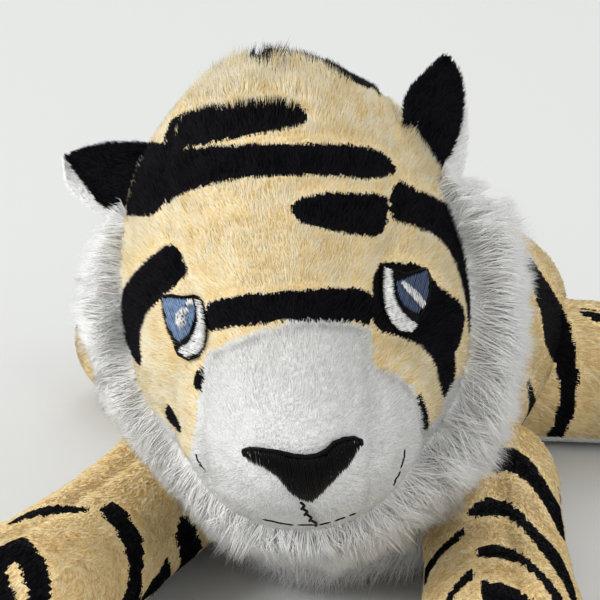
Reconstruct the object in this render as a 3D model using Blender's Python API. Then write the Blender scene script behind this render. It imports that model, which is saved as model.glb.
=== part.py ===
"""A small lying plush tiger, sewn from plush panels over stuffing.

The frame is in metres with +Z up. The tiger faces -Y and its left side is at +X. The origin lies
under the belly, on the surface that the tiger lies on. Each stuffed body has a pivot empty on its
joint's axis, and its pieces are modelled in that pivot's frame.
"""

import math

import bmesh
import bpy
from mathutils import Matrix, Vector

# Fit of the sewn pieces.
SEAM_GAP = 0.0003               # room between pieces that touch
CLOTH_DEPTH = 0.0030            # plush cloth with its standing pile
PILE_PRESS = 0.0005             # depth of pile that is pressed flat under the tiger
OVERRUN = 0.0400                # how far a cutter runs past the piece that it cuts
THREAD_DEPTH = 0.0008           # embroidery thread over the plush

# Torso.
TORSO_HALF_WIDTH = 0.0315
TORSO_HALF_LENGTH = 0.0540
TORSO_HALF_HEIGHT = 0.0245
TORSO_BACK_SHIFT = 0.0080       # from the origin back to the torso's middle
TORSO_FULLNESS = 2.8            # exponent that fills the ends out, 2 for an ellipsoid
RUMP_SWELL_SHARE = 0.05         # widening of the rump, and narrowing of the shoulders
RUMP_FALL_SHARE = 0.32          # how much lower the rump is, of the back's rise over the torso's middle
RUMP_FALL_START = 0.0400        # from the torso's middle forward to where the back starts to fall
RUMP_FALL_LENGTH = 0.0600
BELLY_SEAM_HEIGHT = 0.0140

# Neck, a stuffed ball between torso and head.
NECK_END_INSET = 0.0100         # from the torso's front end back to the neck's middle
NECK_TOP_INSET = 0.0180         # from the height of the back down to the neck's middle
NECK_FORWARD = TORSO_HALF_LENGTH - TORSO_BACK_SHIFT - NECK_END_INSET
NECK_HEIGHT = 2 * TORSO_HALF_HEIGHT - NECK_TOP_INSET
NECK_RADIUS = 0.0115
NECK_SLOPE = math.radians(43)   # the neck's axis above the horizontal

# Head.
HEAD_REACH = 0.0260             # head's middle, ahead of the neck's
HEAD_RISE = 0.0260              # head's middle, above the neck's
HEAD_TURN = math.radians(10)    # towards the tiger's left
HEAD_TILT = math.radians(8.5)   # left cheek raised
SKULL_HALF_WIDTH = 0.0290
SKULL_HALF_DEPTH = 0.0310
CROWN_RISE = 0.0405
JAW_DROP = 0.0350
MUZZLE_HALF_WIDTH = 0.0185
MUZZLE_HALF_DEPTH = 0.0210
MUZZLE_HALF_HEIGHT = 0.0175
MUZZLE_FORWARD = 0.0240
MUZZLE_DROP = 0.0100
MUZZLE_BLEND = 14               # exponent that joins muzzle and skull, higher is sharper

# Seams of the head, measured from its middle.
GUSSET_HALF_WIDTH = 0.0185
GUSSET_EAR_HEIGHT = 0.0220
GUSSET_EYE_HALF_WIDTH = 0.0158
GUSSET_EYE_HEIGHT = 0.0110
BRIDGE_HALF_WIDTH = 0.0130
BRIDGE_SIDE_HEIGHT = 0.0030
BRIDGE_TOP_HEIGHT = 0.0086
MUZZLE_PANEL_HALF_WIDTH = 0.0168
MUZZLE_PANEL_TOP = -0.0030
MUZZLE_PANEL_CHEEK = -0.0110
CHIN_SEAM_HEIGHT = -0.0215
NAPE_SEAM_BACK = 0.0095

# Ruff of long pile round the cheeks and under the chin.
RUFF_HALF_WIDTH = 0.0308
RUFF_HALF_HEIGHT = 0.0290
RUFF_FORWARD = 0.0110
RUFF_LEAN_SHARE = 0.44          # how far back the ruff runs for each metre that it climbs
RUFF_HALF_THICKNESS = 0.0072    # away from the cheek
RUFF_HALF_BREADTH = 0.0078      # from front to back
RUFF_TOP_ANGLE = math.radians(120)
RUFF_STATIONS = 9
RUFF_TIP_SHARE = 0.45           # thickness of the strip below the ear, of its full thickness

# Ears, a black leaf in front of a white one, on a rolled root.
EAR_OUT = 0.0236
EAR_UP = 0.0257
EAR_BACK = 0.0020
EAR_FLARE = math.radians(61)    # the root's outward direction, from straight up
EAR_HALF_WIDTH = 0.0062
EAR_LENGTH = 0.0120
EAR_POINT_SHARE = 0.72          # power that draws the leaf's sides in to its point
EAR_LEAF_DEPTH = 0.0016
EAR_ROOT_RADIUS = 0.0019
LINING_REACH = 0.0020           # how far the white leaf shows past the black one, below and outside
LEFT_EAR_LEAN = math.radians(34)
LEFT_EAR_FOLD = math.radians(34)
RIGHT_EAR_LEAN = math.radians(-7)
RIGHT_EAR_FOLD = math.radians(4)

# Eyes, embroidered on the seams beside the bridge of the nose.
EYE_OUT = 0.0174
EYE_UP = 0.0056
EYE_HALF_WIDTH = 0.0036
EYE_HALF_HEIGHT = 0.0054
EYE_RIM = 0.0008
IRIS_HALF_WIDTH = 0.0026
IRIS_HALF_HEIGHT = 0.0036
IRIS_OUT = 0.0010
IRIS_UP = 0.0007
GLINT_HALF_WIDTH = 0.0006
GLINT_HALF_HEIGHT = 0.0012
GLINT_IN = 0.0002

# Nose and mouth embroidery.
NOSE_HALF_WIDTH = 0.0085
NOSE_HEIGHT = 0.0092
NOSE_TOP = -0.0075
MOUTH_HALF_WIDTH = 0.0155
MOUTH_CORNER_HEIGHT = -0.0125
MOUTH_BOTTOM_HEIGHT = -0.0245
MOUTH_LINE = 0.0010
PHILTRUM_WIDTH = 0.0012
MOUTH_POINTS = 9

# Legs: root ball, middle and paw radii, length from the ball's middle to the paw's tip.
FORELEG_SIDE_INSET = 0.0056     # from the torso's flank in to the root ball's middle
FORELEG_END_INSET = 0.0190      # from the torso's front end back to it
FORELEG_OUT = TORSO_HALF_WIDTH - FORELEG_SIDE_INSET
FORELEG_FORWARD = TORSO_HALF_LENGTH - TORSO_BACK_SHIFT - FORELEG_END_INSET
FORELEG_ROOT_RADIUS = 0.0125
FORELEG_MIDDLE_RADIUS = 0.0116
FORELEG_PAW_RADIUS = 0.0127
FORELEG_LENGTH = 0.0800
FORELEG_SPLAY = math.radians(13.5)
FORELEG_SWING_IN = math.radians(4)
FORELEG_SWING_OUT = math.radians(30)
HIND_LEG_SIDE_INSET = 0.0065
HIND_LEG_END_INSET = 0.0350     # from the torso's hind end forward to the root ball's middle
HIND_LEG_OUT = TORSO_HALF_WIDTH - HIND_LEG_SIDE_INSET
HIND_LEG_BACK = TORSO_HALF_LENGTH + TORSO_BACK_SHIFT - HIND_LEG_END_INSET
HIND_LEG_ROOT_RADIUS = 0.0140
HIND_LEG_MIDDLE_RADIUS = 0.0136
HIND_LEG_PAW_RADIUS = 0.0122
HIND_LEG_LENGTH = 0.0400
HIND_LEG_SPLAY = math.radians(98)
HIND_LEG_SWING = math.radians(20)
SWING_ROOM = 0.0010             # free height over a leg outside its socket
FAN_FULLNESS = 0.6              # how square the room that a leg sweeps is, 1 for an ellipse

# Tail, lying behind the rump.
TAIL_END_INSET = 0.0040         # from the torso's hind end in to the tail's root
TAIL_BACK = TORSO_HALF_LENGTH + TORSO_BACK_SHIFT - TAIL_END_INSET
TAIL_HEIGHT = 0.0140
TAIL_ROOT_RADIUS = 0.0062
TAIL_TIP_RADIUS = 0.0056
TAIL_LENGTH = 0.0880
TAIL_DROP_LENGTH = 0.0260       # length over which it comes down to the ground
TAIL_CURL = 0.0360              # sweep of its end to the tiger's right
TAIL_CLOTH_DEPTH = 0.0022
TAIL_SWING = math.radians(25)

# Facets.
ROUND_SIDES = 12
SOCKET_SIDES = 14
HEAD_SIDES = 24
HEAD_RINGS = 14
TORSO_SIDES = 20
TORSO_RINGS = 12
CORE_SIDES = 14
CORE_RINGS = 8
CAP_RINGS = 3
SHAFT_RINGS = 4
ELLIPSE_POINTS = 12

LEFT = 1
RIGHT = -1
SIDE_NAMES = {LEFT: "left", RIGHT: "right"}

# Colours and roughness of the cloths and threads.
FINISHES = {
    "striped_plush": ((0.73, 0.55, 0.31), 0.95),
    "white_plush": ((0.79, 0.78, 0.74), 0.95),
    "long_white_pile": ((0.71, 0.70, 0.67), 0.95),
    "black_plush": ((0.012, 0.010, 0.014), 0.95),
    "black_thread": ((0.014, 0.011, 0.010), 0.45),
    "white_thread": ((0.82, 0.82, 0.80), 0.45),
    "iris_thread": ((0.10, 0.19, 0.35), 0.45),
    "stuffing": ((0.86, 0.86, 0.84), 1.00),
}

for old_object in list(bpy.data.objects):
    bpy.data.objects.remove(old_object, do_unlink=True)

parts = bpy.data.collections.new("plush_tiger")
cutters = bpy.data.collections.new("cutters")
bpy.context.scene.collection.children.link(parts)
bpy.context.scene.collection.children.link(cutters)


def make_material(name, colour, roughness):
    material = bpy.data.materials.new(name)
    material.use_nodes = True
    shader = material.node_tree.nodes["Principled BSDF"]
    shader.inputs["Base Color"].default_value = (*colour, 1)
    shader.inputs["Roughness"].default_value = roughness
    shader.inputs["Metallic"].default_value = 0
    material.diffuse_color = (*colour, 1)
    return material


def add_pivot(name, world, parent=None):
    """An empty on a joint's axis. The pieces of the joint's body hang from it."""
    pivot = bpy.data.objects.new(name, None)
    pivot.empty_display_size = NECK_RADIUS
    parts.objects.link(pivot)
    if parent is None:
        pivot.matrix_world = world
    else:
        pivot.parent = parent
        pivot.matrix_basis = parent.matrix_world.inverted() @ world
    bpy.context.view_layer.update()
    return pivot


def add_part(name, mesh, pivot, finish):
    """A named piece of the tiger, with a material of its own, in its pivot's frame."""
    part = bpy.data.objects.new(name, mesh)
    part.parent = pivot
    colour, roughness = FINISHES[finish]
    mesh.materials.clear()
    mesh.materials.append(make_material(name + "_" + finish, colour, roughness))
    parts.objects.link(part)
    return part


def add_cutter(name, mesh, world):
    cutter = bpy.data.objects.new(name, mesh)
    cutter.matrix_world = world
    cutter.display_type = "WIRE"
    cutter.hide_render = True
    cutters.objects.link(cutter)
    return cutter


def combine(target, tool, operation):
    modifier = target.modifiers.new(operation.lower() + "_" + tool.name, "BOOLEAN")
    modifier.operation = operation
    modifier.solver = "EXACT"
    modifier.object = tool


def cut(target, *tools):
    for tool in tools:
        combine(target, tool, "DIFFERENCE")


def keep(target, *tools):
    for tool in tools:
        combine(target, tool, "INTERSECT")


def finish_mesh(bm, name):
    bmesh.ops.recalc_face_normals(bm, faces=bm.faces)
    if bm.calc_volume(signed=True) < 0:
        bmesh.ops.reverse_faces(bm, faces=bm.faces)
    mesh = bpy.data.meshes.new(name)
    bm.to_mesh(mesh)
    bm.free()
    mesh.shade_smooth()
    return mesh


def finish_form(bm, name):
    """A swollen form, whose quads are split alike in each copy, so that nested copies stay clear."""
    bmesh.ops.triangulate(bm, faces=bm.faces, quad_method="FIXED")
    return finish_mesh(bm, name)


def box_mesh(name, low, high):
    low, high = Vector(low), Vector(high)
    bm = bmesh.new()
    size = Matrix.Diagonal((*(high - low), 1))
    bmesh.ops.create_cube(bm, size=1, matrix=Matrix.Translation((low + high) / 2) @ size)
    mesh = finish_mesh(bm, name)
    mesh.shade_flat()
    return mesh


def radial_mesh(name, radius_towards, centre, sides, rings):
    """A swollen form round its centre: a sphere, poles at the sides, drawn out to a radius."""
    bm = bmesh.new()
    poles_at_sides = Matrix.Rotation(math.pi / 2, 4, "Y")
    bmesh.ops.create_uvsphere(bm, u_segments=sides, v_segments=rings, radius=1, matrix=poles_at_sides)
    for vert in bm.verts:
        direction = vert.co.normalized()
        vert.co = centre + direction * radius_towards(direction)
    return finish_form(bm, name)


def stationed_mesh(name, stations, sides):
    """A swollen tube: a sphere whose rings are set on stations.

    A station is a middle, two semi-axes and a fullness: 1 for an ellipse, less for a squarer ring.
    """
    bm = bmesh.new()
    bmesh.ops.create_uvsphere(bm, u_segments=sides, v_segments=len(stations) - 1, radius=1)
    for vert in bm.verts:
        polar = math.acos(max(-1, min(1, vert.co.z)))
        middle, across, upward, fullness = stations[round(polar / math.pi * (len(stations) - 1))]
        turn = math.atan2(vert.co.y, vert.co.x)
        level = math.copysign(abs(math.cos(turn)) ** fullness, math.cos(turn))
        height = math.copysign(abs(math.sin(turn)) ** fullness, math.sin(turn))
        vert.co = middle + across * level + upward * height
    return finish_form(bm, name)


def prism_mesh(name, outline, front, back):
    """A flat outline of (side, up) points, drawn out from its front to its back."""
    curve = bpy.data.curves.new(name, "CURVE")
    curve.dimensions = "2D"
    curve.fill_mode = "BOTH"
    curve.extrude = (front - back) / 2
    spline = curve.splines.new("POLY")
    spline.points.add(len(outline) - 1)
    for point, (side, up) in zip(spline.points, outline):
        point.co = (side, up, 0, 1)
    spline.use_cyclic_u = True
    guide = bpy.data.objects.new(name + "_guide", curve)
    cutters.objects.link(guide)
    upright = Matrix.Rotation(math.pi / 2, 4, "X")
    guide.matrix_world = Matrix.Translation((0, -(front + back) / 2, 0)) @ upright
    bpy.context.view_layer.update()
    solid = bpy.data.meshes.new_from_object(guide.evaluated_get(bpy.context.evaluated_depsgraph_get()))
    solid.transform(guide.matrix_world)
    bpy.data.objects.remove(guide, do_unlink=True)
    bm = bmesh.new()
    bm.from_mesh(solid)
    bmesh.ops.remove_doubles(bm, verts=bm.verts, dist=SEAM_GAP / 100)
    mesh = finish_mesh(bm, name)
    mesh.shade_flat()
    return mesh


def grown(outline, distance):
    """The outline with each edge moved out by a distance. It runs anticlockwise."""
    result = []
    for index, point in enumerate(outline):
        before = Vector(point) - Vector(outline[index - 1])
        after = Vector(outline[(index + 1) % len(outline)]) - Vector(point)
        out_before = Vector((before.y, -before.x)).normalized()
        out_after = Vector((after.y, -after.x)).normalized()
        middle = (out_before + out_after).normalized()
        result.append(tuple(Vector(point) + middle * (distance / middle.dot(out_before))))
    return result


def ellipse(side, up, half_width, half_height):
    turns = [2 * math.pi * index / ELLIPSE_POINTS for index in range(ELLIPSE_POINTS)]
    return [(side + half_width * math.cos(turn), up + half_height * math.sin(turn)) for turn in turns]


def mirrored(outline, side):
    """The outline for the tiger's left, or its mirror image, still anticlockwise."""
    if side == LEFT:
        return outline
    return [(-across, up) for across, up in reversed(outline)]


def socket_radius(radius):
    """The radius of a faceted socket whose flats clear a ball of this radius."""
    return (radius + SEAM_GAP) / math.cos(math.pi / SOCKET_SIDES) ** 2


def ball_mesh(name, radius, centre):
    return radial_mesh(name, lambda direction: radius, Vector(centre), SOCKET_SIDES, CORE_RINGS)


# The ground that the tiger lies on trims the pile that it presses flat.
ground_reach = 4 * TORSO_HALF_LENGTH
ground = add_cutter("ground", box_mesh("ground", (-ground_reach, -ground_reach, -OVERRUN),
                                       (ground_reach, ground_reach, 0)), Matrix.Identity(4))


# Pivots of the torso, the neck and the head.
torso_pivot = add_pivot("torso_pivot", Matrix.Identity(4))
neck_point = Vector((0, -NECK_FORWARD, NECK_HEIGHT))
neck_axis = Vector((0, -math.cos(NECK_SLOPE), math.sin(NECK_SLOPE)))
neck_turned = Matrix.Rotation(math.pi / 2 - NECK_SLOPE, 4, "X")
neck_pivot = add_pivot("neck_pivot", Matrix.Translation(neck_point) @ neck_turned, torso_pivot)
head_turned = Matrix.Rotation(HEAD_TURN, 4, "Z") @ Matrix.Rotation(-HEAD_TILT, 4, "Y")
head_pivot = add_pivot("head_pivot", Matrix.Translation(neck_point) @ head_turned, neck_pivot)
head_middle = head_turned.inverted() @ Vector((0, -HEAD_REACH, HEAD_RISE))


# Legs and tail are swollen tubes that lie on the ground and start in a ball at their joint.
def leg_stations(root, middle, paw, length, inset):
    """Stations from the root ball's back to the paw's tip along -Y, for a form drawn in by inset."""
    stations = []
    for step in range(CAP_RINGS):
        turn = math.pi / 2 * step / CAP_RINGS
        stations.append((-(root - inset) * math.cos(turn), (root - inset) * math.sin(turn), root))
    for step in range(SHAFT_RINGS + 1):
        share = step / SHAFT_RINGS
        swell = root * (1 - share) + paw * share
        swell += (middle - (root + paw) / 2) * math.sin(math.pi * share)
        stations.append(((length - paw) * share, swell - inset, swell))
    for step in range(1, CAP_RINGS + 1):
        turn = math.pi / 2 * step / CAP_RINGS
        stations.append((length - paw + (paw - inset) * math.sin(turn), (paw - inset) * math.cos(turn), paw))
    return [(Vector((0, -along, full_radius - root)), Vector((radius, 0, 0)), Vector((0, 0, radius)), 1)
            for along, radius, full_radius in stations]


def swing_stations(root, length, half_swing):
    """Stations of the room that a leg or tail sweeps: its root's socket, then a fan that widens."""
    ball = socket_radius(root)
    fan_start = -ball * math.sin(half_swing)
    flat = Vector((0, 0, 0))
    stations = []
    for step in range(CAP_RINGS + 1):
        turn = (math.pi / 2 - half_swing) * step / (CAP_RINGS + 1)
        radius = ball * math.sin(turn)
        stations.append((Vector((0, ball * math.cos(turn), 0)), Vector((radius, 0, 0)),
                         Vector((0, 0, radius)), 1))
    for share in (fan_start / length, 0, 1 / 3, 2 / 3, 1):
        along = length * share
        across = (ball + along * math.sin(half_swing)) / math.cos(half_swing)
        head_room = ball + SWING_ROOM if share >= 0 else ball * math.cos(half_swing)
        fullness = FAN_FULLNESS if share >= 0 else 1
        stations.append((Vector((0, -along, 0)), Vector((across, 0, 0)), Vector((0, 0, head_room)),
                         fullness))
    stations.append((Vector((0, -length, 0)), flat, flat, 1))
    return stations


def make_leg(name, side, pivot_place, splay, swings, radii, length):
    """The two panels and the stuffing of one leg. Returns the cutter that clears it as it swings."""
    root, middle, paw = radii
    place = Vector((side * pivot_place[0], pivot_place[1], root - PILE_PRESS))
    world = Matrix.Translation(place) @ Matrix.Rotation(side * splay, 4, "Z")
    pivot = add_pivot(name + "_pivot", world, torso_pivot)
    outside = stationed_mesh(name + "_shell", leg_stations(root, middle, paw, length, 0), ROUND_SIDES)
    inside = stationed_mesh(name + "_hollow", leg_stations(root, middle, paw, length, CLOTH_DEPTH),
                            ROUND_SIDES)
    shell = add_cutter(name + "_shell", outside, world)
    cut(shell, add_cutter(name + "_hollow", inside, world), ground)
    for panel, facing in (("outer", side), ("inner", -side)):
        near, far = sorted((facing * SEAM_GAP / 2, facing * (paw + OVERRUN)))
        half = box_mesh(name + "_" + panel, (near, -length - OVERRUN, -OVERRUN), (far, OVERRUN, OVERRUN))
        keep(add_part(name + "_" + panel, half, pivot, "striped_plush"), shell)
    core = leg_stations(root, middle, paw, length, CLOTH_DEPTH + SEAM_GAP)
    add_part(name + "_stuffing", stationed_mesh(name + "_stuffing", core, ROUND_SIDES), pivot, "stuffing")
    swing_in, swing_out = swings
    middle_swing = world @ Matrix.Rotation(side * (swing_out - swing_in) / 2, 4, "Z")
    fan_stations = swing_stations(root, length, (swing_out + swing_in) / 2)
    fan = stationed_mesh(name + "_room", fan_stations, SOCKET_SIDES)
    return add_cutter(name + "_room", fan, middle_swing)


leg_rooms = []
for side, side_name in SIDE_NAMES.items():
    leg_rooms.append(make_leg(
        "foreleg_" + side_name, side, (FORELEG_OUT, -FORELEG_FORWARD), FORELEG_SPLAY,
        (FORELEG_SWING_IN, FORELEG_SWING_OUT),
        (FORELEG_ROOT_RADIUS, FORELEG_MIDDLE_RADIUS, FORELEG_PAW_RADIUS), FORELEG_LENGTH))
    leg_rooms.append(make_leg(
        "hind_leg_" + side_name, side, (HIND_LEG_OUT, HIND_LEG_BACK), HIND_LEG_SPLAY,
        (HIND_LEG_SWING, HIND_LEG_SWING),
        (HIND_LEG_ROOT_RADIUS, HIND_LEG_MIDDLE_RADIUS, HIND_LEG_PAW_RADIUS), HIND_LEG_LENGTH))


# Tail: a tube with an open root, filled with stuffing.
def tail_stations(inset, root_reach):
    """Stations along the tail. It comes down to the ground, then sweeps to its right."""
    count = CAP_RINGS + 2 * SHAFT_RINGS + 1
    lowest = TAIL_TIP_RADIUS - PILE_PRESS - TAIL_HEIGHT
    stations = []
    for step in range(CAP_RINGS):
        turn = math.pi / 2 * step / CAP_RINGS
        radius = TAIL_ROOT_RADIUS - inset
        stations.append((-radius * root_reach * math.cos(turn), radius * math.sin(turn)))
    for step in range(count):
        share = step / (count - 1)
        radius = TAIL_ROOT_RADIUS * (1 - share) + TAIL_TIP_RADIUS * share - inset
        stations.append(((TAIL_LENGTH - TAIL_TIP_RADIUS) * share, radius))
    for step in range(1, CAP_RINGS + 1):
        turn = math.pi / 2 * step / CAP_RINGS
        radius = TAIL_TIP_RADIUS - inset
        stations.append((TAIL_LENGTH - TAIL_TIP_RADIUS + radius * math.sin(turn), radius * math.cos(turn)))
    placed = []
    for along, radius in stations:
        fall = min(max(along / TAIL_DROP_LENGTH, 0), 1)
        sweep = max(along / TAIL_LENGTH, 0)
        eased = fall * fall * (3 - 2 * fall)
        slope = lowest * 6 * fall * (1 - fall) / TAIL_DROP_LENGTH
        heading = Vector((-2 * TAIL_CURL * sweep / TAIL_LENGTH, 1, slope)).normalized()
        across = Vector((heading.y, -heading.x, 0)).normalized()
        middle = Vector((-TAIL_CURL * sweep * sweep, along, lowest * eased))
        placed.append((middle, across * radius, across.cross(heading) * radius, 1))
    return placed


tail_world = Matrix.Translation((0, TAIL_BACK, TAIL_HEIGHT))
tail_pivot = add_pivot("tail_pivot", tail_world, torso_pivot)
tail_hollow = add_cutter("tail_hollow",
                         stationed_mesh("tail_hollow", tail_stations(TAIL_CLOTH_DEPTH, 2), ROUND_SIDES),
                         tail_world)
tail_skin = add_part("tail_skin", stationed_mesh("tail_skin", tail_stations(0, 1), ROUND_SIDES),
                     tail_pivot, "striped_plush")
cut(tail_skin, tail_hollow, ground)
tail_core_inset = TAIL_CLOTH_DEPTH + SEAM_GAP
add_part("tail_stuffing",
         stationed_mesh("tail_stuffing", tail_stations(tail_core_inset, 1), ROUND_SIDES),
         tail_pivot, "stuffing")
tail_fan = stationed_mesh("tail_room", swing_stations(TAIL_ROOT_RADIUS, TAIL_DROP_LENGTH, TAIL_SWING),
                          SOCKET_SIDES)
tail_room = add_cutter("tail_room", tail_fan, tail_world @ Matrix.Rotation(math.pi, 4, "Z"))


# Torso: two back panels and a belly panel over one filling.
def torso_mesh(name, inset, sides, rings):
    half_width = TORSO_HALF_WIDTH - inset
    half_length = TORSO_HALF_LENGTH - inset
    half_height = TORSO_HALF_HEIGHT - inset

    def radius_towards(direction):
        round_part = math.hypot(direction.x / half_width, direction.z / half_height) ** TORSO_FULLNESS
        long_part = abs(direction.y / half_length) ** TORSO_FULLNESS
        return (round_part + long_part) ** (-1 / TORSO_FULLNESS)

    middle = Vector((0, TORSO_BACK_SHIFT, TORSO_HALF_HEIGHT - PILE_PRESS))
    mesh = radial_mesh(name, radius_towards, Vector((0, 0, 0)), sides, rings)
    for vertex in mesh.vertices:
        vertex.co.x *= 1 + RUMP_SWELL_SHARE * vertex.co.y / half_length
        fall = min(max((vertex.co.y + RUMP_FALL_START) / RUMP_FALL_LENGTH, 0), 1)
        if vertex.co.z > 0:
            vertex.co.z *= 1 - RUMP_FALL_SHARE * fall * fall * (3 - 2 * fall)
        vertex.co += middle
    return mesh


torso_world = Matrix.Identity(4)
neck_socket = add_cutter("neck_socket", ball_mesh("neck_socket", socket_radius(NECK_RADIUS), (0, 0, 0)),
                         Matrix.Translation(neck_point))
collar = add_cutter("collar", box_mesh("collar", (-OVERRUN, -OVERRUN, 0), (OVERRUN, OVERRUN, OVERRUN)),
                    Matrix.Translation(neck_point) @ neck_turned)
torso_openings = leg_rooms + [neck_socket, collar, tail_room]
torso_shell = add_cutter("torso_shell", torso_mesh("torso_shell", 0, TORSO_SIDES, TORSO_RINGS), torso_world)
torso_hollow = add_cutter("torso_hollow", torso_mesh("torso_hollow", CLOTH_DEPTH, CORE_SIDES, CORE_RINGS),
                          torso_world)
cut(torso_shell, torso_hollow, ground, *torso_openings)
torso_reach = TORSO_HALF_LENGTH + TORSO_BACK_SHIFT + OVERRUN
back_top = 2 * TORSO_HALF_HEIGHT + OVERRUN
for side, side_name in SIDE_NAMES.items():
    inner_edge, outer_edge = sorted((side * SEAM_GAP / 2, side * (TORSO_HALF_WIDTH + OVERRUN)))
    back_region = box_mesh("back_panel_" + side_name,
                           (inner_edge, -torso_reach, BELLY_SEAM_HEIGHT + SEAM_GAP / 2),
                           (outer_edge, torso_reach, back_top))
    keep(add_part("back_panel_" + side_name, back_region, torso_pivot, "striped_plush"), torso_shell)
belly_half_width = TORSO_HALF_WIDTH + OVERRUN
belly_region = box_mesh("belly_panel", (-belly_half_width, -torso_reach, -OVERRUN),
                        (belly_half_width, torso_reach, BELLY_SEAM_HEIGHT - SEAM_GAP / 2))
keep(add_part("belly_panel", belly_region, torso_pivot, "white_plush"), torso_shell)
torso_core = torso_mesh("torso_stuffing", CLOTH_DEPTH + SEAM_GAP, CORE_SIDES, CORE_RINGS)
cut(add_part("torso_stuffing", torso_core, torso_pivot, "stuffing"), *torso_openings)


# Neck.
add_part("neck_stuffing", ball_mesh("neck_stuffing", NECK_RADIUS, (0, 0, 0)), neck_pivot, "stuffing")


# Head: a skull and a muzzle that swell into each other, sewn from nine panels.
def head_radius(direction):
    rise = CROWN_RISE if direction.z > 0 else JAW_DROP
    skull = 1 / math.sqrt((direction.x / SKULL_HALF_WIDTH) ** 2
                          + (direction.y / SKULL_HALF_DEPTH) ** 2 + (direction.z / rise) ** 2)
    semi_axes = (MUZZLE_HALF_WIDTH, MUZZLE_HALF_DEPTH, MUZZLE_HALF_HEIGHT)
    muzzle_middle = (0, -MUZZLE_FORWARD, -MUZZLE_DROP)
    scaled = Vector([part / axis for part, axis in zip(direction, semi_axes)])
    offset = Vector([part / axis for part, axis in zip(muzzle_middle, semi_axes)])
    along = scaled.dot(offset)
    inside = along * along - scaled.length_squared * (offset.length_squared - 1)
    if inside <= 0 or along <= 0:
        return skull
    muzzle = (along + math.sqrt(inside)) / scaled.length_squared
    return (skull ** MUZZLE_BLEND + muzzle ** MUZZLE_BLEND) ** (1 / MUZZLE_BLEND)


def head_mesh(name, grow, sides=HEAD_SIDES, rings=HEAD_RINGS):
    return radial_mesh(name, lambda direction: head_radius(direction) + grow, head_middle, sides, rings)


def head_prism(name, outline, back=0):
    """A prism through the head's front, for an outline seen from the front, from its middle."""
    mesh = prism_mesh(name, outline, MUZZLE_FORWARD + MUZZLE_HALF_DEPTH + OVERRUN, back)
    mesh.transform(Matrix.Translation(head_middle))
    return mesh


def head_box(name, low, high):
    mesh = box_mesh(name, low, high)
    mesh.transform(Matrix.Translation(head_middle))
    return mesh


head_world = head_pivot.matrix_world.copy()
head_top = CROWN_RISE + OVERRUN
head_low = JAW_DROP + OVERRUN
head_wide = SKULL_HALF_WIDTH + OVERRUN
head_shell = add_cutter("head_shell", head_mesh("head_shell", 0), head_world)
head_hollow = add_cutter("head_hollow", head_mesh("head_hollow", -CLOTH_DEPTH, CORE_SIDES, CORE_RINGS),
                         head_world)
cut(head_shell, head_hollow, neck_socket)


def both_sides(points):
    """An anticlockwise outline from its right half, which is listed from the bottom up."""
    return points + [(-across, up) for across, up in reversed(points) if across != 0]


arch_shoulder = (BRIDGE_HALF_WIDTH / 2, (BRIDGE_SIDE_HEIGHT + BRIDGE_TOP_HEIGHT) / 2)
arch_top = (0, BRIDGE_TOP_HEIGHT)
bridge_edge = [(BRIDGE_HALF_WIDTH, CHIN_SEAM_HEIGHT), (BRIDGE_HALF_WIDTH, BRIDGE_SIDE_HEIGHT),
               arch_shoulder, arch_top]
gusset_edge = [(BRIDGE_HALF_WIDTH, BRIDGE_SIDE_HEIGHT), (GUSSET_EYE_HALF_WIDTH, GUSSET_EYE_HEIGHT),
               (GUSSET_HALF_WIDTH, GUSSET_EAR_HEIGHT), (GUSSET_HALF_WIDTH, head_top)]
muzzle_edge = [(MUZZLE_PANEL_HALF_WIDTH, MUZZLE_PANEL_CHEEK), (BRIDGE_HALF_WIDTH, MUZZLE_PANEL_TOP)]
chin_corner = (MUZZLE_PANEL_HALF_WIDTH, -head_low)
muzzle_corner = (MUZZLE_PANEL_HALF_WIDTH, CHIN_SEAM_HEIGHT)
gusset_outline = both_sides(gusset_edge) + [(-arch_shoulder[0], arch_shoulder[1]), arch_top, arch_shoulder]
bridge_outline = both_sides(bridge_edge)
chin_outline = both_sides([chin_corner, muzzle_corner])
face_outline = both_sides([chin_corner] + muzzle_edge + gusset_edge)
nape_front = NAPE_SEAM_BACK - SEAM_GAP


def head_panel(name, outline, finish, back):
    """One panel of the face, from its front to a depth behind the head's middle."""
    panel = add_part(name, head_prism(name, outline, -back), head_pivot, finish)
    keep(panel, head_shell)


face_room = add_cutter("face_room", head_prism("face_room", grown(face_outline, SEAM_GAP), -NAPE_SEAM_BACK),
                       head_world)
head_panel("head_gusset", gusset_outline, "striped_plush", nape_front)
head_panel("muzzle_bridge", grown(bridge_outline, -SEAM_GAP), "white_plush", 0)
head_panel("chin_panel", grown(chin_outline, -SEAM_GAP), "white_plush", nape_front)
for side, side_name in SIDE_NAMES.items():
    half_muzzle = [(BRIDGE_HALF_WIDTH, CHIN_SEAM_HEIGHT), muzzle_corner] + muzzle_edge
    head_panel("muzzle_" + side_name, mirrored(half_muzzle, side), "white_plush", 0)
    near, far = sorted((side * SEAM_GAP / 2, side * head_wide))
    cheek = head_box("head_side_" + side_name, (near, -head_wide - MUZZLE_FORWARD, -head_low),
                     (far, nape_front, head_top))
    cheek_panel = add_part("head_side_" + side_name, cheek, head_pivot, "striped_plush")
    keep(cheek_panel, head_shell)
    cut(cheek_panel, face_room)
    nape = head_box("head_nape_" + side_name, (near, NAPE_SEAM_BACK, -head_low), (far, head_wide, head_top))
    keep(add_part("head_nape_" + side_name, nape, head_pivot, "striped_plush"), head_shell)
head_core = head_mesh("head_stuffing", -CLOTH_DEPTH - SEAM_GAP, CORE_SIDES, CORE_RINGS)
head_core_part = add_part("head_stuffing", head_core, head_pivot, "stuffing")
cut(head_core_part, neck_socket)


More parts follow.
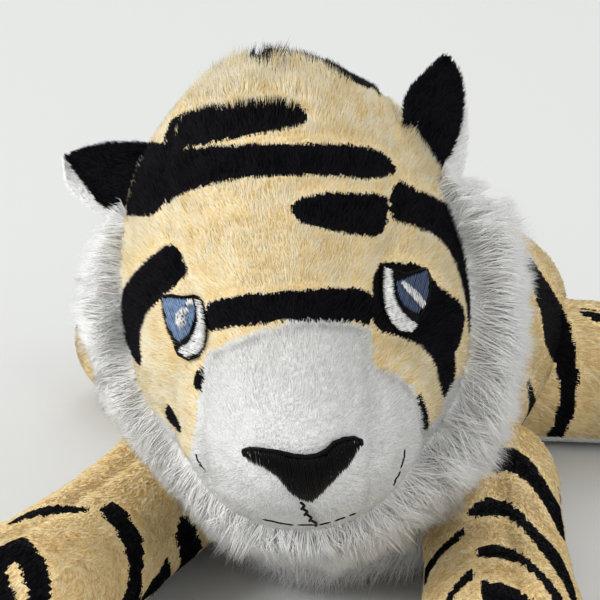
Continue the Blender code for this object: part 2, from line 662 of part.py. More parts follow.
# Ruff: a swollen strip on each cheek, from below the ear to under the chin.
def ruff_stations(side):
    """Stations from a flat end under the chin to a flat end below the ear."""
    stations = []
    start = SEAM_GAP / 2 / RUFF_HALF_WIDTH
    for step in range(RUFF_STATIONS):
        share = step / (RUFF_STATIONS - 1)
        angle = side * (start + (RUFF_TOP_ANGLE - start) * share)
        height = -RUFF_HALF_HEIGHT * math.cos(angle)
        place = Vector((RUFF_HALF_WIDTH * math.sin(angle), -RUFF_FORWARD + RUFF_LEAN_SHARE * height, height))
        outward = Vector((math.sin(angle), 0, -math.cos(angle)))
        swell = 1 - (1 - RUFF_TIP_SHARE) * share * share
        thickness = outward * RUFF_HALF_THICKNESS * swell
        breadth = Vector((0, RUFF_HALF_BREADTH * swell, 0))
        stations.append((head_middle + place, thickness, breadth, 1))
    flat = Vector((0, 0, 0))
    return [(stations[0][0], flat, flat, 1)] + stations + [(stations[-1][0], flat, flat, 1)]


ruff_bed = add_cutter("ruff_bed", head_mesh("ruff_bed", SEAM_GAP), head_world)
for side, side_name in SIDE_NAMES.items():
    strip = stationed_mesh("ruff_" + side_name, ruff_stations(side), ROUND_SIDES)
    ruff = add_part("ruff_" + side_name, strip, head_pivot, "long_white_pile")
    cut(ruff, ruff_bed)


# Ears: each leaf is a flat outline on half of the rolled root.
def make_ear(side, lean, fold):
    side_name = SIDE_NAMES[side]
    root = head_middle + Vector((side * EAR_OUT, EAR_BACK, EAR_UP))
    local = (Matrix.Translation(root) @ Matrix.Rotation(side * EAR_FLARE, 4, "Y")
             @ Matrix.Rotation(-fold, 4, "X"))
    world = head_world @ local
    pivot = add_pivot("ear_" + side_name + "_pivot", world, head_pivot)
    groove_radius = (EAR_ROOT_RADIUS + SEAM_GAP) / math.cos(math.pi / ROUND_SIDES)
    root_length = 2 * EAR_HALF_WIDTH
    layers = (("black", -1, 0, "black_plush"), ("lining", 1, LINING_REACH, "white_plush"))
    for layer, facing, extra, finish in layers:
        outline = []
        for index in range(ELLIPSE_POINTS + 1):
            turn = math.pi * index / ELLIPSE_POINTS
            height = EAR_LENGTH * math.sin(turn) ** EAR_POINT_SHARE
            across = EAR_HALF_WIDTH * math.cos(turn) + extra * math.sin(turn)
            outline.append((side * (across - math.sin(lean) * height), math.cos(lean) * height))
        if side == RIGHT:
            outline.reverse()
        front, back = sorted((facing * SEAM_GAP / 2, facing * (EAR_LEAF_DEPTH + SEAM_GAP / 2)))
        leaf = add_part("ear_" + side_name + "_" + layer,
                        prism_mesh("ear_" + side_name + "_" + layer, outline, -front, -back), pivot, finish)
        roll = bmesh.new()
        bmesh.ops.create_cone(roll, cap_ends=True, segments=ROUND_SIDES, radius1=EAR_ROOT_RADIUS,
                              radius2=EAR_ROOT_RADIUS, depth=root_length,
                              matrix=Matrix.Rotation(math.pi / 2, 4, "Y"))
        roll_name = "ear_" + side_name + "_" + layer + "_roll"
        roll_cutter = add_cutter(roll_name, finish_mesh(roll, roll_name), world)
        other = sorted((facing * SEAM_GAP / 2, -facing * OVERRUN))
        far_half = box_mesh(roll_name + "_half", (-OVERRUN, other[0], -OVERRUN),
                            (OVERRUN, other[1], OVERRUN))
        cut(roll_cutter, add_cutter(roll_name + "_half", far_half, world))
        combine(leaf, roll_cutter, "UNION")
    groove = bmesh.new()
    bmesh.ops.create_cone(groove, cap_ends=True, segments=ROUND_SIDES, radius1=groove_radius,
                          radius2=groove_radius, depth=root_length + 2 * SEAM_GAP,
                          matrix=Matrix.Rotation(math.pi / 2, 4, "Y"))
    return add_cutter("ear_" + side_name + "_groove", finish_mesh(groove, "ear_groove"), world)


ear_grooves = [make_ear(LEFT, LEFT_EAR_LEAN, LEFT_EAR_FOLD),
               make_ear(RIGHT, RIGHT_EAR_LEAN, RIGHT_EAR_FOLD)]
cut(head_shell, *ear_grooves)
cut(head_core_part, *ear_grooves)


# Embroidery: patches of thread that lie on the face.
thread_bed = add_cutter("thread_bed", head_mesh("thread_bed", SEAM_GAP), head_world)
thread_top = add_cutter("thread_top", head_mesh("thread_top", SEAM_GAP + THREAD_DEPTH), head_world)


def embroider(name, outline, finish, *holes, within=None):
    """A patch of thread with this outline, less its holes, and inside another outline if given."""
    patch = add_part(name, head_prism(name, outline), head_pivot, finish)
    keep(patch, thread_top)
    cut(patch, thread_bed)
    if within is not None:
        keep(patch, add_cutter(name + "_bounds", head_prism(name + "_bounds", within), head_world))
    for index, hole in enumerate(holes):
        hole_name = name + "_hole_" + str(index)
        cut(patch, add_cutter(hole_name, head_prism(hole_name, grown(hole, SEAM_GAP)), head_world))


for side, side_name in SIDE_NAMES.items():
    eye_out = side * EYE_OUT
    rim = ellipse(eye_out, EYE_UP, EYE_HALF_WIDTH, EYE_HALF_HEIGHT)
    ball = ellipse(eye_out, EYE_UP, EYE_HALF_WIDTH - EYE_RIM, EYE_HALF_HEIGHT - EYE_RIM)
    iris = ellipse(eye_out + side * IRIS_OUT, EYE_UP + IRIS_UP, IRIS_HALF_WIDTH, IRIS_HALF_HEIGHT)
    glint_out = eye_out + side * (IRIS_OUT - GLINT_IN)
    glint = ellipse(glint_out, EYE_UP + IRIS_UP, GLINT_HALF_WIDTH, GLINT_HALF_HEIGHT)
    embroider("eye_" + side_name + "_outline", rim, "black_thread", ball)
    embroider("eye_" + side_name + "_white", ball, "white_thread", iris)
    embroider("eye_" + side_name + "_iris", iris, "iris_thread", glint, within=ball)
    embroider("eye_" + side_name + "_glint", glint, "white_thread")

NOSE_OUTLINE_SHARES = [
    (0.00, -1.00), (0.22, -0.90), (0.55, -0.62), (0.90, -0.28), (1.00, -0.10), (0.88, 0.00),
    (0.55, -0.06), (0.30, -0.14), (0.00, -0.17), (-0.30, -0.14), (-0.55, -0.06), (-0.88, 0.00),
    (-1.00, -0.10), (-0.90, -0.28), (-0.55, -0.62), (-0.22, -0.90)]
nose = [(across * NOSE_HALF_WIDTH, NOSE_TOP + up * NOSE_HEIGHT) for across, up in NOSE_OUTLINE_SHARES]
embroider("nose_embroidery", nose, "black_thread")


def mouth_line(inset):
    """The curve of the mouth from one corner to the other, drawn in by inset."""
    half_width = MOUTH_HALF_WIDTH - inset
    depth = MOUTH_CORNER_HEIGHT - MOUTH_BOTTOM_HEIGHT - inset
    points = []
    for index in range(MOUTH_POINTS):
        turn = math.pi * (1 + index / (MOUTH_POINTS - 1))
        points.append((half_width * math.cos(turn), MOUTH_CORNER_HEIGHT + depth * math.sin(turn)))
    return points


lower_edge = mouth_line(0)
upper_edge = mouth_line(MOUTH_LINE)
middle_index = MOUTH_POINTS // 2
philtrum_top = NOSE_TOP - NOSE_HEIGHT - SEAM_GAP * 2
philtrum = [(PHILTRUM_WIDTH / 2, upper_edge[middle_index][1]), (PHILTRUM_WIDTH / 2, philtrum_top),
            (-PHILTRUM_WIDTH / 2, philtrum_top), (-PHILTRUM_WIDTH / 2, upper_edge[middle_index][1])]
mouth = lower_edge + upper_edge[:middle_index:-1] + philtrum + upper_edge[middle_index - 1::-1]
embroider("mouth_embroidery", mouth, "black_thread")

bpy.context.view_layer.update()
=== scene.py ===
"""The looks of a small lying plush tiger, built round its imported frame.

Lengths are in metres. +Z is up, the tiger faces -Y and its left side is at +X. Each soft part is made
as a smooth skin, which is then painted with its stripes and covered with pile.
"""

import itertools
import math

import bmesh
import bpy
import numpy as np
from mathutils import Matrix, Vector
from mathutils.bvhtree import BVHTree
from mathutils.kdtree import KDTree


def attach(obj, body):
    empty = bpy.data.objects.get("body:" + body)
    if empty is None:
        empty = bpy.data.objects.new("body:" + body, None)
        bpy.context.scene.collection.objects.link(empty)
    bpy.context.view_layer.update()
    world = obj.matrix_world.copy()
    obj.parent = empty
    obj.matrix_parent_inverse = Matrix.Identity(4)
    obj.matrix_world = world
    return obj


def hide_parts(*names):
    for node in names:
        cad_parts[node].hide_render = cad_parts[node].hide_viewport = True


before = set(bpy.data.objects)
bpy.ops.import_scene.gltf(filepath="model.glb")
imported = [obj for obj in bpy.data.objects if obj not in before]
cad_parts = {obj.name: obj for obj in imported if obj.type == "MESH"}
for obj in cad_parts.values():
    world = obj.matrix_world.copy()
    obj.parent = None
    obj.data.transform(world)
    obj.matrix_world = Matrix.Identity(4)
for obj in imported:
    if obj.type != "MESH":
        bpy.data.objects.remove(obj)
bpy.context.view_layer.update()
scene = bpy.context.scene
chance = np.random.default_rng(11)


# Camera: a long lens in front of the tiger, a little to its left and above it. Marks on the plush are
# placed by points of the 600 by 600 photograph, along the lines of sight of this camera.
CAMERA_AZIMUTH = math.radians(12.5)
CAMERA_ELEVATION = math.radians(20)
CAMERA_DISTANCE = 0.55
CAMERA_TARGET = Vector((0, -0.062, 0.057))
PHOTO_SIZE = 600
FOCAL_PIXELS = 3410
SENSOR_WIDTH = 36

camera_back = Vector((math.sin(CAMERA_AZIMUTH) * math.cos(CAMERA_ELEVATION),
                      -math.cos(CAMERA_AZIMUTH) * math.cos(CAMERA_ELEVATION),
                      math.sin(CAMERA_ELEVATION)))
camera_right = Vector((math.cos(CAMERA_AZIMUTH), math.sin(CAMERA_AZIMUTH), 0))
camera_up = camera_back.cross(camera_right)
camera_spot = CAMERA_TARGET + camera_back * CAMERA_DISTANCE
camera_data = bpy.data.cameras.new("camera")
camera_data.sensor_width = SENSOR_WIDTH
camera_data.lens = SENSOR_WIDTH * FOCAL_PIXELS / PHOTO_SIZE
camera = bpy.data.objects.new("camera", camera_data)
camera.location = camera_spot
camera.rotation_euler = (-camera_back).to_track_quat("-Z", "Y").to_euler()
scene.collection.objects.link(camera)
scene.camera = camera


def sight_line(x, y):
    """The direction from the camera through a point of the photograph."""
    across = (x - PHOTO_SIZE / 2) / FOCAL_PIXELS
    upward = (PHOTO_SIZE / 2 - y) / FOCAL_PIXELS
    return (camera_right * across + camera_up * upward - camera_back).normalized()


def photo_points(places):
    """Where the camera sees these places, in the photograph's pixels."""
    from_camera = places - np.array(camera_spot)
    depth = -(from_camera @ np.array(camera_back))
    across = from_camera @ np.array(camera_right) / depth * FOCAL_PIXELS
    upward = from_camera @ np.array(camera_up) / depth * FOCAL_PIXELS
    return np.stack([PHOTO_SIZE / 2 + across, PHOTO_SIZE / 2 - upward], axis=1)


# Torso: a stuffed bag of striped plush over a white belly. Two back panels meet along the spine. The
# bag swells towards the rump and lies flat on the ground under the belly.
PILE_DEPTH = 0.0007             # from the standing pile's mean height down to the woven ground
TORSO_HALF_WIDTH = 0.0315
TORSO_HALF_LENGTH = 0.0540
TORSO_HALF_HEIGHT = 0.0245
TORSO_MIDDLE = np.array((0, 0.0080, 0.0240))
TORSO_FULLNESS = 2.8
RUMP_SWELL_SHARE = 0.05
RUMP_FALL_SHARE = 0.32
RUMP_FALL_START = 0.0400
RUMP_FALL_LENGTH = 0.0600
GROUND_CLEARANCE = 0.0006
SPINE_VALLEY = 0.0007
VALLEY_REACH = 0.0016
BELLY_SEAM_HEIGHT = 0.0110
UNDERSIDE_HEIGHT = 0.0040       # below this the pile lies pressed against the ground
TORSO_PILE = 0.0016
PRESSED_PILE = 0.0008
LYING_LIFT = 0.25               # of short pile that is combed flat over the body
BODY_PAINTED_SHADE_DEPTH = 0.75              # painted shade: the body's pile takes deeper shades than the head's
CHEST_FRONT = -0.0260
CHEST_HALF_WIDTH = 0.0260
CHEST_TOP = 0.0340
CHEST_SWELL = 0.0060
CHEST_SWELL_HEIGHT = 0.0060     # of the middle of the swell, above the ground
CHEST_SWELL_REACH = (0.0180, 0.0090)
CHEST_PILE = 0.0140
CHEST_PILE_TOP = 0.0260
TORSO_RINGS = 110
TORSO_SIDES = 150


def drift(places, size):
    """Smooth random values from -1 to 1, which change over about this size."""
    cells = places / size
    low = np.floor(cells).astype(np.int64)
    part = cells - low
    part = part * part * (3 - 2 * part)
    total = np.zeros(len(places))
    for corner in itertools.product((0, 1), repeat=3):
        lattice = low + corner
        mixed = (lattice[:, 0] * 73856093) ^ (lattice[:, 1] * 19349663) ^ (lattice[:, 2] * 83492791)
        mixed = (mixed * 2654435761 + 1013904223) & 0xFFFFFFFF
        mixed = ((mixed >> 15) ^ mixed) & 0xFFFF
        weight = np.prod(np.where(corner, part, 1 - part), axis=1)
        total += weight * (mixed / 32767.5 - 1)
    return total


def drift_vectors(places, size):
    return np.stack([drift(places + offset * size * 31.7, size) for offset in (1, 2, 3)], axis=1)


def unit(vectors):
    return vectors / np.maximum(np.linalg.norm(vectors, axis=-1, keepdims=True), 1e-12)


def mesh_object(name, places, faces, smooth=True):
    """A piece from its points and from arrays of faces with three or four corners each."""
    faces = [np.asarray(group, np.int32) for group in faces]
    sizes = np.concatenate([np.full(len(group), group.shape[1], np.int32) for group in faces])
    mesh = bpy.data.meshes.new(name)
    mesh.vertices.add(len(places))
    mesh.vertices.foreach_set("co", np.asarray(places, np.float32).ravel())
    mesh.loops.add(int(sizes.sum()))
    mesh.loops.foreach_set("vertex_index", np.concatenate([group.ravel() for group in faces]))
    mesh.polygons.add(len(sizes))
    mesh.polygons.foreach_set("loop_start", np.concatenate([[0], np.cumsum(sizes)[:-1]]).astype(np.int32))
    mesh.polygons.foreach_set("use_smooth", np.full(len(sizes), smooth))
    mesh.update(calc_edges=True)
    mesh.validate()
    piece = bpy.data.objects.new(name, mesh)
    scene.collection.objects.link(piece)
    return piece


def ringed_skin(name, rings):
    """A closed skin through rings of points, an array of (rings, sides, 3), with a point at each end."""
    ring_count, sides, _ = rings.shape
    places = np.concatenate([rings.reshape(-1, 3), rings[0].mean(axis=0)[None], rings[-1].mean(axis=0)[None]])
    index = np.arange(ring_count * sides).reshape(ring_count, sides)
    after = np.roll(index, -1, axis=1)
    quads = np.stack([index[:-1], index[1:], after[1:], after[:-1]], axis=-1).reshape(-1, 4)
    start, end = len(places) - 2, len(places) - 1
    first = np.stack([np.full(sides, start), index[0], after[0]], axis=1)
    last = np.stack([np.full(sides, end), after[-1], index[-1]], axis=1)
    piece = mesh_object(name, places, [quads, np.concatenate([first, last])])
    form = bmesh.new()
    form.from_mesh(piece.data)
    bmesh.ops.recalc_face_normals(form, faces=form.faces)
    form.to_mesh(piece.data)
    form.free()
    return piece


def sphere_directions(rings, sides):
    """Directions for the rings of a rounded form, with its poles in front and behind."""
    polar = np.linspace(0, math.pi, rings + 2)[1:-1, None]
    turn = np.linspace(0, 2 * math.pi, sides, endpoint=False)[None, :]
    return np.stack([np.sin(polar) * np.sin(turn), -np.cos(polar) * np.ones_like(turn),
                     np.sin(polar) * np.cos(turn)], axis=-1)


def mesh_points(piece):
    places = np.empty(len(piece.data.vertices) * 3, np.float32)
    piece.data.vertices.foreach_get("co", places)
    return places.reshape(-1, 3).astype(float)


def move_points(piece, places):
    piece.data.vertices.foreach_set("co", places.astype(np.float32).ravel())
    piece.data.update()


def vertex_normals(piece):
    normals = np.empty(len(piece.data.vertices) * 3, np.float32)
    piece.data.vertex_normals.foreach_get("vector", normals)
    return normals.reshape(-1, 3).astype(float)


def surface_of(piece):
    places = [Vector(place) for place in mesh_points(piece)]
    return BVHTree.FromPolygons(places, [tuple(face.vertices) for face in piece.data.polygons])


def seen_at(surface, x, y):
    """The place and the normal of a surface at a point of the photograph, or beside its edge."""
    line = sight_line(x, y)
    place, normal, _, _ = surface.ray_cast(camera_spot, line)
    if place is None:
        nearest = camera_spot + line * (CAMERA_TARGET - camera_spot).dot(line)
        place, normal, _, _ = surface.find_nearest(nearest)
    return place, normal


def rounded(marks, closed=False):
    """Marks along a line with its corners cut twice, so that it bends smoothly."""
    marks = np.array(marks, float)
    for _ in range(2):
        after = np.roll(marks, -1, axis=0) if closed else marks[1:]
        before = marks if closed else marks[:-1]
        cut = np.stack([before * 0.75 + after * 0.25, before * 0.25 + after * 0.75], axis=1)
        cut = cut.reshape(-1, marks.shape[1])
        marks = cut if closed else np.concatenate([marks[:1], cut[1:-1], marks[-1:]])
    return marks


def outside_strokes(places, strokes, waver=0.0003):
    """How far each place lies outside the nearest stroke, with a wavering edge. Negative inside."""
    if waver:
        places = places + drift_vectors(places, 6 * waver) * waver
    nearest = np.full(len(places), 1.0)
    for line, half_widths in strokes:
        for start, end, near, far in zip(line[:-1], line[1:], half_widths[:-1], half_widths[1:]):
            span = end - start
            share = np.clip((places - start) @ span / max(span @ span, 1e-14), 0, 1)
            gap = np.linalg.norm(places - start - share[:, None] * span, axis=1)
            nearest = np.minimum(nearest, gap - near - (far - near) * share)
    return nearest


def gap_to_lines(places, lines):
    """How far each place lies from the nearest of some lines."""
    return outside_strokes(places, [(line, np.zeros(len(line))) for line in lines], 0)


def within(points, outline):
    """Whether points lie inside a closed outline."""
    inside = np.zeros(len(points), bool)
    for (x1, y1), (x2, y2) in zip(outline, np.roll(outline, -1, axis=0)):
        crosses = (y1 > points[:, 1]) != (y2 > points[:, 1])
        level = (points[:, 1] - y1) / (y2 - y1 if y2 != y1 else 1)
        inside ^= crosses & (points[:, 0] < x1 + level * (x2 - x1))
    return inside


def facing_camera(places, surface):
    """How squarely a surface faces the camera at these places, from 1 to -1. Below 0 it is out of sight."""
    normals = np.array([surface.find_nearest(place)[1] for place in places])
    return (unit(np.array(camera_spot) - places) * normals).sum(axis=1)


EDGE_WAVER = 1.3                  # how far a stripe's edge wavers, in the photograph's pixels
EDGE_WAVER_SIZE = 0.0018


def outside_patches(places, surface, patches):
    """How far each place lies outside patches outlined in the photograph. Negative inside."""
    nearest = np.full(len(places), 1.0)
    if not len(patches):
        return nearest
    facing = facing_camera(places, surface)
    waver = EDGE_WAVER * np.clip(2 * facing, 0.15, 1)
    seen = photo_points(places) + drift_vectors(places, EDGE_WAVER_SIZE)[:, :2] * waver[:, None]
    pixel = np.linalg.norm(places - np.array(camera_spot), axis=1) / FOCAL_PIXELS
    for patch in patches:
        patch = rounded(patch, closed=True)
        line = np.concatenate([patch, patch[:1]])
        gap = np.full(len(seen), float(PHOTO_SIZE))
        for start, end in zip(line[:-1], line[1:]):
            span = end - start
            share = np.clip((seen - start) @ span / max(span @ span, 1e-9), 0, 1)
            gap = np.minimum(gap, np.linalg.norm(seen - start - share[:, None] * span, axis=1))
        gap = np.where(within(seen, patch), -gap, gap) * pixel
        nearest = np.where(facing > 0, np.minimum(nearest, gap), nearest)
    return nearest


EDGE_REACH = 0.0012
EDGE_LEAST_SHARE = 0.45


def edge_share(outside):
    """The share of its length that a hair keeps near a stripe's edge, so that the edge stays crisp."""
    return np.clip(np.abs(outside) / EDGE_REACH, EDGE_LEAST_SHARE, 1)


def node_material(name):
    """A new material, with its nodes, its links and its shader."""
    material = bpy.data.materials.new(name)
    material.use_nodes = True
    tree = material.node_tree
    return material, tree.nodes, tree.links, tree.nodes["Principled BSDF"]


# The ground cloth of plush, which shows between the hairs: a fine knit with rows of loops, with painted shade
# between its loops.
KNIT_LOOP = 0.0006

knit = bpy.data.node_groups.new("knitted_ground", "ShaderNodeTree")
for socket, kind, value in (("Light", "NodeSocketColor", (1, 1, 1, 1)),
                            ("Dark", "NodeSocketColor", (0, 0, 0, 1)),
                            ("Loop Size", "NodeSocketFloat", KNIT_LOOP)):
    knit.interface.new_socket(socket, in_out="INPUT", socket_type=kind).default_value = value
knit.interface.new_socket("Color", in_out="OUTPUT", socket_type="NodeSocketColor")
knit.interface.new_socket("Height", in_out="OUTPUT", socket_type="NodeSocketFloat")
knit_in = knit.nodes.new("NodeGroupInput")
knit_out = knit.nodes.new("NodeGroupOutput")
knit_place = knit.nodes.new("ShaderNodeTexCoord")
knit_scale = knit.nodes.new("ShaderNodeMath")
knit_scale.operation = "DIVIDE"
knit_scale.inputs[0].default_value = 1
knit_loops = knit.nodes.new("ShaderNodeTexVoronoi")
knit_loops.feature = "F1"
knit_mottle = knit.nodes.new("ShaderNodeTexNoise")
knit_mottle.inputs["Scale"].default_value = 260
knit_mottle.inputs["Detail"].default_value = 4
knit_share = knit.nodes.new("ShaderNodeMath")
knit_share.operation = "MULTIPLY_ADD"
knit_share.inputs[1].default_value = 0.55
knit_blend = knit.nodes.new("ShaderNodeMix")
knit_blend.data_type = "RGBA"
knit.links.new(knit_in.outputs["Loop Size"], knit_scale.inputs[1])
knit.links.new(knit_place.outputs["Object"], knit_loops.inputs["Vector"])
knit.links.new(knit_scale.outputs[0], knit_loops.inputs["Scale"])
knit.links.new(knit_place.outputs["Object"], knit_mottle.inputs["Vector"])
knit.links.new(knit_loops.outputs["Distance"], knit_share.inputs[0])
knit.links.new(knit_mottle.outputs["Fac"], knit_share.inputs[2])
knit.links.new(knit_share.outputs[0], knit_blend.inputs[0])
knit.links.new(knit_in.outputs["Light"], knit_blend.inputs[6])
knit.links.new(knit_in.outputs["Dark"], knit_blend.inputs[7])
knit.links.new(knit_blend.outputs[2], knit_out.inputs["Color"])
knit.links.new(knit_loops.outputs["Distance"], knit_out.inputs["Height"])


def ground_cloth(name, light, dark):
    """A cloth material made of the knitted ground in two colours: its own, and a darker one, which is painted
    shade between the loops mixed with random mottling.
    """
    material, nodes, links, shader = node_material(name)
    cloth = nodes.new("ShaderNodeGroup")
    cloth.node_tree = knit
    cloth.inputs["Light"].default_value = (*light, 1)
    cloth.inputs["Dark"].default_value = (*dark, 1)
    cloth.inputs["Loop Size"].default_value = KNIT_LOOP
    bump = nodes.new("ShaderNodeBump")
    bump.inputs["Distance"].default_value = KNIT_LOOP / 3
    links.new(cloth.outputs["Color"], shader.inputs["Base Color"])
    links.new(cloth.outputs["Height"], bump.inputs["Height"])
    links.new(bump.outputs["Normal"], shader.inputs["Normal"])
    shader.inputs["Roughness"].default_value = 0.95
    shader.inputs["Specular IOR Level"].default_value = 0.15
    return material


TAN_GROUND, BLACK_GROUND, WHITE_GROUND, GREY_GROUND = range(4)
ground_cloths = [ground_cloth("tan_ground", (0.96, 0.80, 0.49), (0.86, 0.66, 0.34)),
                 ground_cloth("black_ground", (0.006, 0.006, 0.008), (0.003, 0.003, 0.004)),
                 ground_cloth("white_ground", (0.99, 0.99, 0.98), (0.93, 0.93, 0.91)),
                 ground_cloth("grey_white_ground", (0.84, 0.84, 0.83), (0.74, 0.74, 0.73))]


def hair_material(name, colour, shine):
    material, _, _, shader = node_material(name)
    shader.inputs["Base Color"].default_value = (*colour, 1)
    shader.inputs["Roughness"].default_value = 0.75
    shader.inputs["Specular IOR Level"].default_value = shine
    return material


# Pile hairs in the shades that the real fibres mix, from light to deep. They are listed in the order of
# the ground cloths.
HAIR_COLOURS = (
    ("tan_hair", 0.25, ((0.95, 0.89, 0.72), (0.94, 0.85, 0.62), (0.92, 0.79, 0.51), (0.89, 0.72, 0.40),
                        (0.78, 0.57, 0.26))),
    ("black_hair", 0.06, ((0.009, 0.008, 0.011), (0.003, 0.003, 0.004))),
    ("white_hair", 0.25, ((0.99, 0.99, 0.98), (0.97, 0.97, 0.96), (0.94, 0.94, 0.92))),
    ("grey_white_hair", 0.25, ((0.86, 0.86, 0.85), (0.82, 0.82, 0.81), (0.75, 0.75, 0.73))),
)
hair_shades = [hair_material(name + "_" + str(index), colour, shine)
               for name, shine, colours in HAIR_COLOURS for index, colour in enumerate(colours)]


def field(value, places):
    """What a value is at each place: one for all of them, or given by a function of the places."""
    return value(places) if callable(value) else np.full((len(places), *np.shape(value)), value)


def paint_ground(piece, colour_of):
    """Gives each face of a skin its ground cloth."""
    for material in ground_cloths:
        piece.data.materials.append(material)
    places = mesh_points(piece)
    middles = np.array([places[list(face.vertices)].mean(axis=0) for face in piece.data.polygons])
    piece.data.polygons.foreach_set("material_index", field(colour_of, middles).astype(np.int32))


def scatter(piece, per_square_mm):
    """Random places, spread evenly over a skin, with its normals."""
    mesh = piece.data
    mesh.calc_loop_triangles()
    count = len(mesh.loop_triangles)
    corners = np.empty(count * 3, np.int32)
    mesh.loop_triangles.foreach_get("vertices", corners)
    corners = corners.reshape(-1, 3)
    places, normals = mesh_points(piece), vertex_normals(piece)
    one, two, three = (places[corners[:, column]] for column in range(3))
    filled = np.cumsum(np.linalg.norm(np.cross(two - one, three - one), axis=1) / 2)
    hairs = int(filled[-1] * 1e6 * per_square_mm)
    picks = np.searchsorted(filled, (np.arange(hairs) + chance.random(hairs)) / hairs * filled[-1])
    picks = np.minimum(picks, count - 1)
    first, second = chance.random(hairs), chance.random(hairs)
    over = first + second > 1
    first, second = np.where(over, 1 - first, first), np.where(over, 1 - second, second)
    weights = np.stack([1 - first - second, first, second], axis=1)[:, :, None]
    picked = corners[picks]
    return (places[picked] * weights).sum(axis=1), unit((normals[picked] * weights).sum(axis=1))


def hairs(name, spines, radii, shades):
    """Tapering three-sided hairs along spines, an array of (hairs, points, 3) from root to tip."""
    count, points, _ = spines.shape
    rings = points - 1
    along = unit(spines[:, 1] - spines[:, 0])
    side = unit(np.cross(along, unit(chance.normal(size=(count, 3)))))
    other = np.cross(along, side)
    turn = np.arange(3) * 2 * math.pi / 3
    spokes = side[:, None] * np.cos(turn)[None, :, None] + other[:, None] * np.sin(turn)[None, :, None]
    taper = (1 - np.arange(rings) / rings) ** 0.6
    rims = spines[:, :rings, None] + spokes[:, None] * (radii[:, None] * taper[None])[:, :, None, None]
    places = np.concatenate([rims.reshape(count, rings * 3, 3), spines[:, -1:]], axis=1)
    per_hair = rings * 3 + 1
    corner = np.arange(3)
    after = (corner + 1) % 3
    faces = [np.stack([low + corner, low + after, low + 3 + after, low + 3 + corner], axis=1)
             for low in range(0, 3 * rings - 3, 3)]
    faces.append(np.stack([3 * rings - 3 + corner, 3 * rings - 3 + after, np.full(3, 3 * rings)], axis=1))
    offsets = (np.arange(count) * per_hair)[:, None, None]
    groups = [(offsets + face[None]).reshape(-1, face.shape[1]) for face in faces]
    piece = mesh_object(name, places.reshape(-1, 3), groups)
    used = np.unique(shades)
    for shade in used:
        piece.data.materials.append(hair_shades[shade])
    slots = np.searchsorted(used, shades).astype(np.int32)
    piece.data.polygons.foreach_set("material_index", np.tile(np.repeat(slots, 3), rings))
    return piece


CLUMP_SIZE = 0.0024
COMB_SHARE = 0.9                  # of a hair's lean, next to what its clump and chance give it
CLUMP_SHARE = 0.42
STRAY_SHARE = 0.14


def along_skin(vectors, normals):
    return vectors - normals * (vectors * normals).sum(axis=1, keepdims=True)


def combed(places, normals, lean, length, lift, points):
    """Spines of hairs that stand on a skin, lean the way they are combed and gather in clumps."""
    lean = unit(along_skin(lean, normals)) * COMB_SHARE + drift_vectors(places, CLUMP_SIZE) * CLUMP_SHARE
    lean = along_skin(lean + chance.normal(size=places.shape) * STRAY_SHARE, normals)
    length = length * chance.uniform(0.75, 1.15, len(places))
    spine = [places]
    for step in range(points - 1):
        rise = lift * (1 - 0.45 * step / max(points - 2, 1))
        heading = unit(normals * rise + lean)
        spine.append(spine[-1] + heading * (length / (points - 1))[:, None])
    return np.stack(spine, axis=1)


TUFT_SIZE = 0.0016
CAST_SIZE = 0.0090
MEAN_DEPTH = 0.42                 # of the shades, from the lightest at 0 to the deepest at 1


def shade_of(places, colour, depth=MEAN_DEPTH):
    """A shade for each hair, which changes from tuft to tuft, over the skin and from hair to hair."""
    level = depth + 0.3 * drift(places, TUFT_SIZE) + 0.12 * drift(places, CAST_SIZE)
    level += chance.normal(size=len(places)) * 0.2
    level = np.clip(level, 0, 0.999)
    counts = np.array([len(colours) for _, _, colours in HAIR_COLOURS])
    return (np.cumsum(counts) - counts)[colour] + (level * counts[colour]).astype(int)


def drawn_in(piece, lines, depth):
    """A skin's places, drawn in along seam lines, as the sewing thread draws in the plush."""
    places, normals = mesh_points(piece), vertex_normals(piece)
    gap = gap_to_lines(places, lines)
    return places - normals * (depth * np.exp(-(np.maximum(gap, 0) / VALLEY_REACH) ** 2))[:, None]


def lie_flat(places):
    """Rests what would reach into the ground on it."""
    places[:, 2] = np.maximum(places[:, 2], GROUND_CLEARANCE)
    return places


directions = sphere_directions(TORSO_RINGS, TORSO_SIDES)
half_sizes = np.array((TORSO_HALF_WIDTH, TORSO_HALF_LENGTH, TORSO_HALF_HEIGHT)) - PILE_DEPTH
shares = np.abs(directions / half_sizes)
torso_radius = (np.hypot(shares[..., 0], shares[..., 2]) ** TORSO_FULLNESS
                + shares[..., 1] ** TORSO_FULLNESS) ** (-1 / TORSO_FULLNESS)
torso_rings = directions * torso_radius[..., None]
torso_rings[..., 0] *= 1 + RUMP_SWELL_SHARE * torso_rings[..., 1] / TORSO_HALF_LENGTH
fall = np.clip((torso_rings[..., 1] + RUMP_FALL_START) / RUMP_FALL_LENGTH, 0, 1)
fall = RUMP_FALL_SHARE * fall * fall * (3 - 2 * fall)
torso_rings[..., 2] *= np.where(torso_rings[..., 2] > 0, 1 - fall, 1)
torso_skin = ringed_skin("torso_skin", torso_rings + TORSO_MIDDLE)
torso_surface = surface_of(torso_skin)


def torso_at(along, turn):
    """The torso's skin at a distance behind the origin, turned from the spine to the left, in degrees."""
    turn = math.radians(turn)
    centre = Vector((0, along, TORSO_MIDDLE[2]))
    return torso_surface.ray_cast(centre, Vector((math.sin(turn), 0, math.cos(turn))))[0]


def torso_stroke(*marks):
    """A stroke through marks (along, turn, width), in millimetres and degrees."""
    marks = rounded(marks)
    return np.array([torso_at(along / 1000, turn) for along, turn, _ in marks]), marks[:, 2] / 2000


